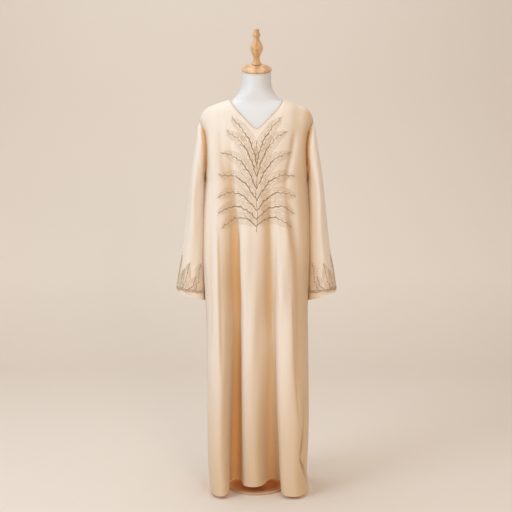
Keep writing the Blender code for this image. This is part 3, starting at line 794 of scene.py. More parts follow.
def turned(profile, sides, centre=(0, 0, 0), tilt=0.0):
    """Rings of a turned profile about an axis leant forwards by tilt, from the top down."""
    turn = np.arange(sides) * 2 * np.pi / sides
    radius, height = profile["radius"][::-1, None], profile["height"][::-1, None]
    x, y = radius * np.cos(turn), radius * np.sin(turn)
    z = height + 0 * turn
    return np.stack([x, y * np.cos(tilt) - z * np.sin(tilt),
                     y * np.sin(tilt) + z * np.cos(tilt)], axis=-1) + centre


def add_stack(name, sections, finish, nodes):
    """A closed solid through rings, from the top one down, its ends drawn in to a middle point."""
    rows, columns = sections.shape[:2]
    i, j = grid_corners(rows, columns, around=True)
    faces = (i * columns + j % columns).tolist()
    top, bottom = rows * columns, rows * columns + 1
    last = (rows - 1) * columns
    for k in range(columns):
        faces.append([top, k, (k + 1) % columns])
        faces.append([bottom, last + (k + 1) % columns, last + k])
    points = np.concatenate([sections.reshape(-1, 3), sections[0].mean(0)[None], sections[-1].mean(0)[None]])
    return add_piece(name, points, faces, finish, nodes, sharp=40)


def rounded(profile):
    """A profile's points drawn through smooth spans, so that its curves are round."""
    fine = smooth_curve(np.stack([profile["height"], profile["radius"]], 1), per_span=5)
    return {"height": fine[:, 0], "radius": fine[:, 1]}


def rod(radius, low, high, below, above):
    """Profile of a rod or disc with a small bevel at each end."""
    return {"radius": np.array([radius - below, radius, radius, radius - above]),
            "height": np.array([low, low + below, high - above, high])}


def form_rings():
    """The dress form's sections: (|x| / a)^n + (|y| / b)^n = 1, each tilted by its lean."""
    s = FORM_SECTIONS
    fine = np.linspace(0, 1, (len(s["z"]) - 1) * 4 + 1)
    z, y0, lean, half_width, front, back, exponent = (
        through(fine, np.linspace(0, 1, len(s["z"])), s[k])[:, None]
        for k in "z y lean half_width front back exponent".split())
    turn = (np.arange(FORM_SIDES) * 2 * np.pi / FORM_SIDES)[None, :]
    power = 2 / exponent
    x = half_width * np.sign(np.cos(turn)) * np.abs(np.cos(turn)) ** power
    y = np.where(np.sin(turn) < 0, front, back) * np.sign(np.sin(turn)) * np.abs(np.sin(turn)) ** power
    tilt = np.radians(lean)
    return np.stack([x, y0 + y * np.cos(tilt), z + y * np.sin(tilt)], -1)


# ---- node materials ----

class Finish:
    """A node material that is built up one node at a time."""

    def __init__(self, name, colour, roughness, **sockets):
        self.material = bpy.data.materials.new(name)
        self.material.use_nodes = True
        self.tree = self.material.node_tree
        self.shader = self.tree.nodes["Principled BSDF"]
        self.shader.inputs["Base Color"].default_value = (*colour, 1.0)
        self.shader.inputs["Roughness"].default_value = roughness
        for socket, value in sockets.items():
            self.shader.inputs[socket.replace("_", " ")].default_value = value

    def put(self, socket, value):
        """Link a socket to another one, or give it a plain value."""
        if isinstance(value, bpy.types.NodeSocket):
            self.tree.links.new(value, socket)
        else:
            socket.default_value = value

    def node(self, kind, inputs=None, **settings):
        made = self.tree.nodes.new(kind)
        for key, value in settings.items():
            setattr(made, key, value)
        for socket, value in (inputs or {}).items():
            self.put(made.inputs[socket], value)
        return made

    def mapping(self, place, kind="POINT", **inputs):
        return self.node("ShaderNodeMapping", {"Vector": place, **inputs}, vector_type=kind).outputs["Vector"]

    def place(self, kind="Object", scale=(1, 1, 1)):
        """Object or UV coordinates, scaled."""
        return self.mapping(self.node("ShaderNodeTexCoord").outputs[kind], Scale=scale)

    def noise(self, place, scale, detail=2.0, rough=0.5):
        return self.node("ShaderNodeTexNoise", {"Vector": place, "Scale": scale, "Detail": detail,
                                                "Roughness": rough}).outputs["Fac"]

    def waves(self, place, scale, distortion, way):
        return self.node("ShaderNodeTexWave", {"Vector": place, "Scale": scale, "Distortion": distortion},
                         bands_direction=way).outputs["Fac"]

    def value(self, name):
        """A number kept at each point of the mesh."""
        return self.node("ShaderNodeAttribute", attribute_name=name).outputs["Fac"]

    def ramp(self, value, stops):
        """A value turned into colours, from (position, colour) stops."""
        made = self.node("ShaderNodeValToRGB", {"Fac": value})
        while len(made.color_ramp.elements) < len(stops):
            made.color_ramp.elements.new(0.5)
        for element, (position, colour) in zip(made.color_ramp.elements, stops):
            element.position = position
            element.color = (*colour, 1.0)
        return made.outputs["Color"]

    def tones(self, value, colour, dark, light, low=0.3, high=0.7):
        """A value turned into a colour's darker and lighter tones."""
        base = np.array(colour, float)
        return self.ramp(value, [(low, tuple(base * dark)), (high, tuple(np.minimum(base * light, 1)))])

    def mix(self, factor, a, b, blend="MIX"):
        made = self.node("ShaderNodeMix", data_type="RGBA", blend_type=blend)
        for name, value in (("Factor", factor), ("A", a), ("B", b)):
            plain = name == "Factor" or isinstance(value, bpy.types.NodeSocket)
            self.put(next(s for s in made.inputs if s.name == name and s.enabled),
                     value if plain else (*value, 1.0))
        return next(s for s in made.outputs if s.enabled and s.name == "Result")

    def tinted(self, a, b):
        """One colour multiplied by another."""
        return self.mix(1.0, a, b, "MULTIPLY")

    def maths(self, operation, a, b=0.0):
        return self.node("ShaderNodeMath", {0: a, 1: b}, operation=operation).outputs["Value"]

    def scaled(self, value, by, plus):
        """A value times one number, plus another."""
        return self.maths("ADD", self.maths("MULTIPLY", value, by), plus)

    def bump(self, height, strength, distance):
        made = self.node("ShaderNodeBump", {"Height": height, "Strength": strength, "Distance": distance})
        self.use(made.outputs["Normal"], "Normal")

    def use(self, output, socket):
        self.tree.links.new(output, self.shader.inputs[socket])


def linear(colour):
    """A colour on the usual 0 to 255 scale, made linear."""
    c = np.array(colour) / 255
    return tuple(np.where(c <= 0.04045, c / 12.92, ((c + 0.055) / 1.055) ** 2.4))


@functools.lru_cache(maxsize=None)
def cloth_finish():
    """Fine crepe: a pebbly thread bump, faint slubs, a soft sheen and painted warm shade in its folds."""
    p = bpy.context.scene.thobe_cloth
    white = (1, 1, 1)
    made = Finish("robe_crepe", p.colour, p.roughness, Sheen_Weight=p.sheen, Sheen_Roughness=0.45,
                  Specular_IOR_Level=0.35)
    cloth = made.place("UV")
    slub = made.noise(made.place("UV", (14, 1.6, 1)), 3.0, 3.0)
    uneven = made.maths("MULTIPLY", made.maths("ADD", slub, made.noise(cloth, 2.6)), 0.5)
    tone = made.tones(uneven, p.colour, 0.965, 1.03, 0.35, 0.65)
    # Painted shade: the "trough" and "line" values darken and warm the cloth's colour.
    deep = made.ramp(made.value("trough"), [(0.0, white), (0.5, p.shade_tint), (1.0, p.fold_shade_tint)])
    painted_line_shade = made.ramp(made.value("line"), [(0.0, white), (1.0, p.line_shade_tint)])
    made.use(made.tinted(made.tinted(tone, deep), painted_line_shade), "Base Color")
    weft, warp = (made.maths("MULTIPLY", made.waves(cloth, 260.0, 1.5, way), 0.35) for way in "YX")
    made.bump(made.maths("ADD", made.noise(cloth, 1400.0), made.maths("ADD", weft, warp)), 0.22, 0.0004)
    return made.material


def form_finish():
    """Smooth white shell: faint mottling and a satin gloss with fine polishing marks."""
    p = bpy.context.scene.thobe_form
    made = Finish("form_skin", p.skin, p.gloss, Coat_Weight=0.15, Coat_Roughness=0.3)
    place = made.place()
    made.use(made.tones(made.noise(place, 9.0, 3.0), p.skin, 0.975, 1.015), "Base Color")
    fine = made.noise(place, 220.0)
    made.use(made.scaled(fine, 0.12, p.gloss - 0.06), "Roughness")
    made.bump(fine, 0.06, 0.0004)
    return made.material


def wood_finish():
    """Turned wood: rings about the lathe's axis, long fibres, grooves and a satin varnish."""
    p = bpy.context.scene.thobe_form
    made = Finish("turned_wood", p.wood, 0.42, Coat_Weight=0.25, Coat_Roughness=0.25)
    source = made.node("ShaderNodeTexCoord").outputs["Object"]
    place = made.mapping(source, "TEXTURE", Location=NECK_TOP, Rotation=(CAP_TILT, 0, 0))
    split = made.node("ShaderNodeSeparateXYZ", {"Vector": place})
    drift = made.noise(made.mapping(place, Scale=(60, 60, 7)), 1.4, 4.0, 0.6)
    rings = made.maths("ADD", made.maths("MULTIPLY", split.outputs["X"], 170.0),
                       made.maths("MULTIPLY", drift, 9.0))
    wave = made.scaled(made.maths("SINE", rings), 0.5, 0.5)
    fibre = made.noise(made.mapping(place, Scale=(900, 900, 40)), 1.0)
    tone = made.maths("ADD", made.maths("MULTIPLY", wave, 0.55), made.maths("MULTIPLY", fibre, 0.45))
    turns = made.maths("ABSOLUTE", made.maths("SINE", made.maths("MULTIPLY", split.outputs["Z"], 420.0)))
    grooves = made.maths("POWER", turns, 14.0)
    grain = made.ramp(tone, [(0.2, p.wood_dark), (0.75, p.wood)])
    made.use(made.mix(made.maths("MULTIPLY", grooves, 0.45), grain, p.wood_dark), "Base Color")
    made.bump(made.maths("SUBTRACT", fibre, made.maths("MULTIPLY", grooves, 2.0)), 0.16, 0.0006)
    made.use(made.scaled(fibre, 0.2, 0.32), "Roughness")
    return made.material


def steel_finish():
    """Brushed steel: a grain drawn out along the pole, in the gloss and in a low bump."""
    colour, roughness = linear((176, 172, 166)), 0.35
    made = Finish("brushed_steel", colour, roughness, Metallic=1.0)
    fine = made.noise(made.place("Object", (1, 1, 0.05)), 60.0, 3.0)
    made.use(made.tones(fine, colour, 0.9, 1), "Base Color")
    made.use(made.scaled(fine, 0.25, roughness - 0.12), "Roughness")
    made.bump(fine, 0.1, 0.0005)
    return made.material


def plate_finish():
    """Brown paint with a fine tooth, paler towards the plate's rim, where it fades into the floor;
    the darker middle is painted shade under the robe's hem.
    """
    colour, pale_rim = linear((158, 108, 70)), linear((204, 168, 136))
    made = Finish("brown_paint", colour, 0.6, Specular_IOR_Level=0.3)
    place = made.place()
    flat = made.node("ShaderNodeVectorMath", {0: place, 1: (1, 1, 0)}, operation="MULTIPLY").outputs["Vector"]
    radius = made.node("ShaderNodeVectorMath", {0: flat}, operation="LENGTH").outputs["Value"]
    tone = made.ramp(made.maths("DIVIDE", radius, PLATE_RADIUS), [(0.68, colour), (0.99, pale_rim)])
    made.use(made.tinted(tone, made.tones(made.noise(place, 60.0, 4.0), (1, 1, 1), 0.93, 1)), "Base Color")
    made.bump(made.noise(place, 900.0, 3.0), 0.15, 0.0003)
    return made.material


def paper_finish():
    """Matt paper: the floor's colour at its foot, the wall's above, fading upwards."""
    p = bpy.context.scene.thobe_studio
    made = Finish("backdrop_paper", p.wall, 0.9, Specular_IOR_Level=0.1)
    place = made.place()
    height = made.maths("MULTIPLY", made.node("ShaderNodeSeparateXYZ", {"Vector": place}).outputs["Z"], 0.4)
    tone = made.ramp(height, [(0.0, p.floor), (0.2, p.wall), (1.0, tuple(np.array(p.wall) * p.fade))])
    made.use(made.tinted(tone, made.tones(made.noise(place, 1.2), (1, 1, 1), 0.992, 1)), "Base Color")
    made.bump(made.noise(place, 300.0), 0.05, 0.0005)
    return made.material


def bead_finish(name, colour, metallic, roughness):
    """Small glass or metal beads: each a little lighter or darker than the next."""
    made = Finish(name, colour, roughness, Metallic=metallic, Coat_Weight=0.3, Coat_Roughness=0.2)
    made.use(made.tones(made.noise(made.place(), 260.0, 1.0), colour, 0.72, 1.3), "Base Color")
    return made.material


@functools.lru_cache(maxsize=None)
def thread_finish(name, colour):
    """Twisted embroidery thread: a fine slanting twist and a soft sheen."""
    made = Finish(name, colour, 0.5, Sheen_Weight=0.3)
    twist = made.waves(made.place(), 300.0, 2.0, "DIAGONAL")
    made.use(made.tones(twist, colour, 0.85, 1.1, 0.2, 0.8), "Base Color")
    made.bump(twist, 0.3, 0.0003)
    return made.material


# ---- beads, stitches and cords laid on the cloth ----

def pebble():
    """A small closed bead: a pole, two rings and a pole, as points and faces."""
    sides = 6
    turn = np.arange(sides) * 2 * np.pi / sides
    rings = [np.stack([r * np.cos(turn), r * np.sin(turn), h + 0 * turn], 1)
             for r, h in ((0.72, 0.69), (1.0, -0.1))]
    points = np.concatenate([[[0, 0, 1]], *rings, [[0, 0, -0.7]]])
    faces = []
    for k in range(sides):
        n = (k + 1) % sides
        faces += [[0, 1 + k, 1 + n], [1 + k, 1 + sides + k, 1 + sides + n, 1 + n],
                  [1 + sides + k, 1 + 2 * sides, 1 + sides + n]]
    return points, faces


def scatter(name, places, sizes, finish):
    """Many pebbles as one mesh: each stands in the frame (along, across, out) at its place."""
    centre, along_axis, out = places
    across = np.cross(out, along_axis)
    shape, faces = pebble()
    axes = np.stack([along_axis * sizes[:, :1], across * sizes[:, 1:2], out * sizes[:, 2:]], axis=1)
    points = centre[:, None, :] + np.einsum("pk,nkc->npc", shape, axes)
    count = len(shape)
    all_faces = []
    for k in range(len(centre)):
        all_faces += [[k * count + c for c in face] for face in faces]
    return add_piece(name, points, all_faces, finish, sharp=80)


def unit(v):
    """Vectors made one metre long."""
    return v / np.maximum(np.linalg.norm(v, axis=-1, keepdims=True), 1e-12)


@functools.lru_cache(maxsize=None)
def front_tree():
    """The front cloth as a tree that rays can be cast on."""
    grid = body_surface("front")[0]
    rows, columns = grid.shape[:2]
    i, j = grid_corners(rows, columns)
    return BVHTree.FromPolygons(grid.reshape(-1, 3).tolist(), (i * columns + j).tolist())


def on_front(line):
    """Points (x, z) cast straight back onto the front, with the cloth's normal there."""
    hits = [front_tree().ray_cast(Vector((x, -1.0, z)), Vector((0, 1, 0))) for x, z in line]
    hits = [k for k in hits if k[0] is not None]
    return np.array([k[0] for k in hits]), np.array([k[1] if k[1].y < 0 else -k[1] for k in hits])


def on_sleeve(line):
    """Points (round, up from the edge) laid on the right sleeve, with the cloth's normal there."""
    return sleeve_at(line[:, 0] / CUFF_AROUND, 1 - line[:, 1] / CUFF_LONG)


def sleeve_at(u, v):
    """A point and normal of the right sleeve at a share round it and a share down it."""
    grid = sleeve_surface()[0]
    n = -normals(grid, around=True)
    rows, columns = grid.shape[:2]
    row = np.clip(1 + (v - CAP_TURN) / (1 - CAP_TURN) * (rows - 2), 0, rows - 1.001)
    column = (u % 1) * columns
    i, j = row.astype(int), column.astype(int) % columns
    a, b = (row - i)[:, None], (column - np.floor(column))[:, None]
    k = (j + 1) % columns

    def between(g):
        return (g[i, j] * (1 - a) * (1 - b) + g[i + 1, j] * a * (1 - b)
                + g[i, k] * (1 - a) * b + g[i + 1, k] * a * b)
    return between(grid), unit(between(n))


def tube_faces(count, sides, start):
    """Faces of a closed tube of the given number of rings."""
    i, j = grid_corners(count, sides, around=True)
    faces = (start + i * sides + j % sides).tolist()
    faces.append((start + np.arange(sides)[::-1]).tolist())
    faces.append((start + (count - 1) * sides + np.arange(sides)).tolist())
    return faces


def cords(name, lines, radius, finish, sides=5, flip=False):
    """Raised cords: a ring of points round each point of each line, thin at both ends."""
    points, faces, start = [], [], 0
    turn = np.arange(sides) * (2 if flip else -2) * np.pi / sides
    for centre, out in lines:
        if len(centre) < 3:
            continue
        tangent = unit(np.gradient(centre, axis=0))
        across = unit(np.cross(out, tangent))
        share = np.linspace(0, 1, len(centre))
        size = radius * (0.35 + 0.65 * smoothstep(share / 0.12) * smoothstep((1 - share) / 0.2))
        ring = (across[:, None] * np.cos(turn)[:, None] + out[:, None] * np.sin(turn)[:, None])
        points.append((centre[:, None] + ring * size[:, None, None]).reshape(-1, 3))
        faces += tube_faces(len(centre), sides, start)
        start += len(centre) * sides
    return add_piece(name, np.concatenate(points), faces, finish, sharp=80)


# ---- the beadwork's drawing: a stem with arching fronds, feathered strokes and berries ----

# Fronds on the right half of the chest, from the stem outwards: points (x, z) in millimetres.
FRONDS = [
    [(1, 968), (40, 994), (82, 992), (122, 962)],
    [(1, 992), (44, 1028), (90, 1036), (134, 1012)],
    [(1, 1022), (44, 1070), (90, 1086), (138, 1070)],
    [(1, 1058), (40, 1116), (82, 1144), (132, 1146)],
    [(1, 1098), (34, 1166), (72, 1208), (120, 1226)],
    [(1, 1142), (27, 1216), (60, 1268), (104, 1302)],
    [(1, 1186), (18, 1250), (46, 1302), (86, 1350)],
]
STEM = [(0, 948), (3, 1010), (-3, 1080), (3, 1150), (-2, 1210), (0, 1262)]


def wavy(line, seed):
    """A line with the slight unevenness of handwork: two sine waves along it."""
    s = arc(line) * 2 * np.pi
    way = unit(np.gradient(line, axis=0))
    side = np.stack([-way[:, 1], way[:, 0]], axis=1)
    sway = 0.0014 * np.sin(s / 0.055 + seed) + 0.0007 * np.sin(s / 0.023 + 2.3 * seed)
    return line + side * sway[:, None]


def beside(line, gap, start, end):
    """A line kept a gap to one side of another, closing in towards its ends."""
    part = along(line, np.linspace(start, end, 40))
    way = unit(np.gradient(part, axis=0))
    side = np.stack([-way[:, 1], way[:, 0]], axis=1)
    return part + side * gap * np.sin(np.pi * np.linspace(0.08, 0.95, 40)[:, None]) ** 0.5


def strokes(line, step, length):
    """Short curved strokes that leave a line on alternate sides, shorter towards its tip."""
    size = arc(line)[-1]
    made = []
    for k, s in enumerate(np.arange(0.12 * size, size - 0.003, step)):
        here = along(line, np.array([s, min(size, s + 0.002)]) / size)
        way = unit(here[1] - here[0])
        side = np.array([-way[1], way[0]]) * (1 if k % 2 else -1)
        grow = length * (1 - 0.45 * s / size) * (0.85 + 0.3 * ((k * 7) % 5) / 4)
        t = np.linspace(0.1, 1, 8)[:, None]
        made.append(here[0] + grow * (way * t + side * (0.78 * t - 0.34 * t * t)))
    return made


def trimmings(fronds, stroke, gaps, span):
    """The feathered strokes on some fronds, and the tonal cords beside them."""
    feather = [f for k in fronds for f in strokes(k, *stroke)]
    return feather, [beside(k, gap, *span) for k in fronds for gap in [-g for g in gaps] + gaps[::-1]]


def tips(lines, past):
    """A berry's place just past the end of each line."""
    return [k[-1] + unit(k[-1] - k[-4]) * past for k in lines]


def chest_design():
    """The chest's beaded ribs, feathered strokes, tonal cords and berries, as (x, z) curves."""
    ribs = []
    for k, points in enumerate(FRONDS):
        curve = smooth_curve(np.array(points) * 0.001, 16)
        ribs += [wavy(curve, 1.7 * k), wavy(curve * [-1, 1], 1.1 * k + 0.6)]
    doubled = [beside(k, 0.0024 * (-1) ** n, 0.0, 0.62) for n, k in enumerate(ribs)]
    berries = [along(k, np.array([share]))[0] for k in ribs for share in (0.3, 0.66)]
    stem = smooth_curve(np.array(STEM) * 0.001, 14)
    feather, tonal = trimmings(ribs, (0.0105, 0.0150), [0.020, 0.0145, 0.009], (0.06, 0.98))
    return [stem] + ribs + doubled, feather, tonal, np.array(tips([stem] + ribs, 0.005) + berries)


CUFF_FRONDS = 14
CUFF_HEIGHTS = (0.108, 0.070, 0.094, 0.056)   # of four fronds in turn, round the cuff
CUFF_LEANS = (0.034, 0.052, 0.044, 0.058)


def cuff_design():
    """The cuff's ribs, strokes, tonal cords and berries, as curves of (round, up from the edge)."""
    ring = np.linspace(0, CUFF_AROUND, 161)
    rise = 0.017 - 0.011 * np.cos(2 * np.pi * ring / CUFF_AROUND)
    ribs = [wavy(np.stack([ring, rise + gap], 1), 3 * gap) for gap in (0, 0.004)]
    fronds = []
    for k in range(CUFF_FRONDS):
        x = (k + 0.5) / CUFF_FRONDS * CUFF_AROUND
        foot = np.interp(x, ring, rise)
        tall = CUFF_HEIGHTS[k % 4]
        lean = CUFF_LEANS[k % 4] * (1 if x < CUFF_AROUND / 2 else -1)
        points = [(x - 0.6 * lean, foot + 0.004), (x - 0.1 * lean, foot + 0.10 * tall),
                  (x + 0.28 * lean, foot + 0.42 * tall), (x + 0.36 * lean, foot + 0.72 * tall),
                  (x + 0.55 * lean, foot + tall)]
        fronds.append(wavy(smooth_curve(np.array(points), 12), k))
    feather, tonal = trimmings(fronds, (0.016, 0.0105), [0.018, 0.0125, 0.0075], (0.1, 0.96))
    return ribs + fronds, feather, tonal, np.array(tips(fronds, 0.004))


def bead_rows(lines, lay, pitch, bead, random):
    """Centres, directions, outward normals and sizes of the beads along some lines."""
    centres, ways, outs = [], [], []
    for line in lines:
        centre, out = lay(spaced(line, pitch))
        if len(centre) > 1:
            centres.append(centre)
            ways.append(unit(np.gradient(centre, axis=0)))
            outs.append(out)
    centre, way, out = (np.concatenate(k) for k in (centres, ways, outs))
    size = bead * (0.8 + 0.4 * random.random((len(centre), 1))) * np.array([[1.15, 1.0, 0.8]])
    return centre + out * bead * 0.45, way, out, size


def add_beadwork(place, design, lay, turn):
    """Lay a design's beads, pearls and cords on the cloth, turned to one side."""
    p = bpy.context.scene.thobe_beads
    ribs, feather, tonal, berries = design
    random = np.random.default_rng(7)
    rows = [bead_rows(ribs, lay, p.pitch, p.bead, random),
            bead_rows(feather, lay, p.pitch * 0.8, p.bead * 0.72, random)]
    centre, way, out, size = (np.concatenate(k) for k in zip(*rows))
    bronze = bead_finish("bronze_beads", tuple(p.bronze), 0.35, 0.38)
    scatter("beads_" + place, (centre * turn, way * turn, out * turn), size * [1, turn[0], 1], bronze)
    centre, out = lay(berries)
    centre, out = centre * turn, out * turn
    way = unit(np.cross(out, np.array([[0.0, 0.0, 1.0]])))
    scatter("pearls_" + place, (centre + out * p.berry * 0.55, way, out),
            np.full((len(centre), 3), p.berry), bead_finish("pearls", tuple(p.pearl), 0.1, 0.25))
    lines = [lay(spaced(line, 0.004)) for line in tonal]
    cords("cords_" + place, [(c * turn + o * turn * 0.0003, o * turn) for c, o in lines if len(c) > 3],
          0.0007, thread_finish("tonal_thread", tuple(p.thread)), flip=turn[0] < 0)


STITCH_PITCH = 0.0038
STITCH_SIZE = (0.00135, 0.00028, 0.00025)   # half its length, width and height
NECK_ROW, HEM_ROW, CUFF_ROW = 2, -4, -3     # the rows of the cloth that the stitches follow
NECK_ROLL = 0.0011     # half the width of the neck's rolled edge
SEAM_ROLL = 0.0008     # half the width of the ridge along a seam
UNDERARM_PART = 0.045  # height of the armhole's low part


def stitch_row(line, out):
    """One row of stitches along a line on the cloth: centres, directions and outward normals."""
    length = arc(line)
    places = np.arange(STITCH_PITCH, length[-1] - STITCH_PITCH, STITCH_PITCH)
    centre = read(line, length, places)
    return centre, unit(np.gradient(centre, axis=0)), unit(read(out, length, places))


def stitch_rows():
    """All the stitches round the neck, the hem and the cuffs."""
    rows = []
    for side, sign in SIGN.items():
        grid = body_surface(side)[0]
        out = normals(grid) * -sign
        neck = np.abs(grid[0, :, 0]) < NECK_HALF
        rows += [stitch_row(grid[NECK_ROW, neck], out[NECK_ROW, neck]),
                 stitch_row(grid[HEM_ROW], out[HEM_ROW])]
    grid = sleeve_surface()[0]
    out = -normals(grid, around=True)
    closed = np.arange(SLEEVE_COLUMNS + 1) % SLEEVE_COLUMNS
    for turn in TURNS.values():
        rows.append(stitch_row(grid[CUFF_ROW, closed] * turn, out[CUFF_ROW, closed] * turn))
    return [np.concatenate(k) for k in zip(*rows)]


def neck_edges():
    """The neck's edge on the front and on the back: points, and the way up and out."""
    edges = []
    for side, sign in SIGN.items():
        edge = body_surface(side)[0][0]
        edge = spaced(edge[np.abs(edge[:, 0]) <= NECK_HALF], 0.002)
        edges.append((edge, unit(np.array([0, 0.5 * sign, 1.0])) + 0 * edge))
    return edges


def seam(line, out):
    """Evenly spaced points along a seam, and the way out of the cloth at each."""
    points = spaced(line, 0.003)
    length = arc(line)
    return points, read(out, length / length[-1], np.linspace(0, 1, len(points)))


def armhole_lines(top=np.inf):
    """The armhole's ring on the right and the left, up to a height, and the way out of it."""
    ring = sleeve_surface()[0][0]
    out = unit(ring - ring.mean(axis=0))
    part = ring[:, 2] < top
    return [seam(ring[part] * turn, out[part] * turn) for turn in TURNS.values()]


def body_lines():
    """The side and shoulder seams, and the way out of the cloth."""
    body = body_surface("front")[0]
    ridge = body[0]
    lines = ((body[YOKE_ROWS:, 0], (-1, 0, 0)), (body[YOKE_ROWS:, -1], (1, 0, 0)),
             (ridge[ridge[:, 0] >= NECK_HALF], (0, 0, 1)), (ridge[ridge[:, 0] <= -NECK_HALF], (0, 0, 1)))
    return [seam(line * [1, 0, 1], np.array(way, float) + 0 * line) for line, way in lines]


# ---- the studio ----

# The lamps inside the hem: name, place and share of the glow's power.
GLOWS = (("glow", (0, 0.035, 0.22), 1.0), ("glow_left", (-0.125, -0.075, 0.07), 0.035),
         ("glow_right", (0.115, -0.075, 0.07), 0.035))


def add_backdrop():
    """A sweep of paper: the floor, a quarter-round bend and the wall."""
    half, front, back, top, bend = 6.0, -6.0, 4.4, 6.0, 2.0
    turn = np.linspace(0, np.pi / 2, 25)
    profile = np.concatenate([[[front, 0]],
                              np.stack([back - bend + bend * np.sin(turn), bend - bend * np.cos(turn)], 1),
                              [[back, top]]])
    points = np.concatenate([np.insert(profile, 0, x, axis=1) for x in (-half, half)])
    count = len(profile)
    mesh = bpy.data.meshes.new("studio_sweep")
    mesh.from_pydata(points.tolist(), [], [[k, k + count, k + count + 1, k + 1] for k in range(count - 1)])
    mesh.shade_smooth()
    mesh.materials.append(paper_finish())
    sweep = bpy.data.objects.new("studio_sweep", mesh)
    bpy.context.collection.objects.link(sweep)


def add_lamp(name, place, target, power, size, colour):
    """A square soft light that faces its target."""
    light = bpy.data.lights.new(name, "AREA")
    light.energy, light.size, light.color = power, size, colour
    lamp = bpy.data.objects.new(name, light)
    lamp.location = place
    lamp.visible_camera = False
    lamp.rotation_euler = (Vector(target) - Vector(place)).to_track_quat("-Z", "Y").to_euler()
    bpy.context.collection.objects.link(lamp)


def add_air(strength):
    """Even warm light from all round."""
    world = bpy.data.worlds.new("studio_air")
    world.use_nodes = True
    inputs = world.node_tree.nodes["Background"].inputs
    inputs["Color"].default_value, inputs["Strength"].default_value = (1.0, 0.86, 0.71, 1.0), strength
    bpy.context.scene.world = world
    bpy.context.scene.view_settings.view_transform = "Standard"


def add_camera():
    """The camera, at waist height and leaning down a little."""
    lens = bpy.data.cameras.new("camera")
    lens.lens, lens.sensor_width = 65.5, 36.0
    camera = bpy.data.objects.new("camera", lens)
    camera.location = (-0.0018, -3.4, 1.0458)
    camera.rotation_euler = (np.radians(90 - 3.2), 0, 0)
    bpy.context.collection.objects.link(camera)
    bpy.context.scene.camera = camera


# ---- settings ----

def colour_setting(name, description, default):
    return bpy.props.FloatVectorProperty(name=name, description=description, default=default, size=3,
                                         subtype="COLOR", min=0, max=1)


def length_setting(name, description, default):
    return bpy.props.FloatProperty(name=name, description=description, default=default, min=0.0001,
                                   unit="LENGTH")


def power_setting(name, description, default):
    return bpy.props.FloatProperty(name=name, description=description, default=default, min=0,
                                   unit="POWER")


def share_setting(name, description, default, low=0.0):
    return bpy.props.FloatProperty(name=name, description=description, default=default, min=low, max=1)


class ClothSizes(bpy.types.PropertyGroup):
    colour: colour_setting("Cloth colour", "Colour of the crepe", linear((235, 221, 208)))
    # The three tints are painted shade: they darken and warm the cloth in folds and lines.
    shade_tint: colour_setting("Shade tint", "What the colour is multiplied by half deep in a fold",
                               (0.80, 0.65, 0.46))
    fold_shade_tint: colour_setting("Fold tint", "What the colour is multiplied by deep in a fold",
                              (0.94, 0.61, 0.28))
    line_shade_tint: colour_setting("Line tint", "What the colour is multiplied by in a nipped line",
                              (0.42, 0.27, 0.16))
    roughness: share_setting("Roughness", "Roughness of the cloth", 0.62)
    sheen: share_setting("Sheen", "Strength of the cloth's sheen", 0.25)
    thickness: length_setting("Thickness", "Thickness of the cloth", 0.0011)


class BeadSizes(bpy.types.PropertyGroup):
    bead: length_setting("Bead", "Half the width of a small bead", 0.0012)
    pitch: length_setting("Pitch", "Distance from bead to bead", 0.0027)
    berry: length_setting("Berry", "Half the width of a pearl", 0.0021)
    bronze: colour_setting("Bronze", "Colour of the beads", linear((176, 142, 104)))
    pearl: colour_setting("Pearl", "Colour of the berries", linear((232, 218, 196)))
    thread: colour_setting("Thread", "Colour of the tonal cords", linear((216, 190, 158)))
    # The seam cords take the colour of shaded cloth: painted shade.
    seam: colour_setting("Seam", "Colour of the cloth drawn up along a seam", linear((212, 180, 144)))
    armhole: colour_setting("Armhole seam", "Colour of the shaded cloth along an armhole's seam",
                            linear((160, 112, 72)))
    hem_thread: colour_setting("Hem thread", "Colour of the stitches", linear((206, 178, 146)))


class FormSizes(bpy.types.PropertyGroup):
    skin: colour_setting("Skin", "Colour of the dress form", linear((220, 219, 221)))
    gloss: share_setting("Roughness", "Roughness of the dress form", 0.5, 0.1)
    wood: colour_setting("Wood", "Light grain of the wood", linear((228, 186, 142)))
    wood_dark: colour_setting("Dark grain", "Dark grain of the wood", linear((200, 152, 106)))


class StudioSizes(bpy.types.PropertyGroup):
    wall: colour_setting("Backdrop", "Colour of the wall", linear((237, 226, 216)))
    floor: colour_setting("Floor", "Colour of the floor", linear((228, 217, 207)))
    fade: share_setting("Fade", "What the wall's colour is multiplied by at the top", 0.95)
    key: power_setting("Key light", "Power of the main light", 61.0)
    wash: power_setting("Wash light", "Power of the light on the backdrop", 102.0)
    front: power_setting("Front light", "Power of the weak light from the front", 29.0)
    glow: power_setting("Glow", "Power of the light that falls through the cloth onto the plate", 0.24)
    fill: share_setting("Fill", "Strength of the light from all round", 0.53)


# ---- operators ----

class THOBE_OT_body(bpy.types.Operator):
    """Add the robe's front and back"""
    bl_idname = "thobe.body"
    bl_label = "Robe Body"

    def execute(self, context):
        thickness = context.scene.thobe_cloth.thickness
        for side, flip, width, area in (("front", False, 0.70, 0.88), ("back", True, 0.62, 0.78)):
            grid, trough, line = body_surface(side)
            outward = normals(grid) * -SIGN[side]
            outward[:YOKE_ROWS + 1] = yoke_normals(grid[:YOKE_ROWS + 1])
            piece = shell("cloth_" + side, grid, outward, thickness, cloth_finish(), ["robe_" + side],
                          flip=flip)
            set_painted_shades(piece, trough, line)
        return {"FINISHED"}


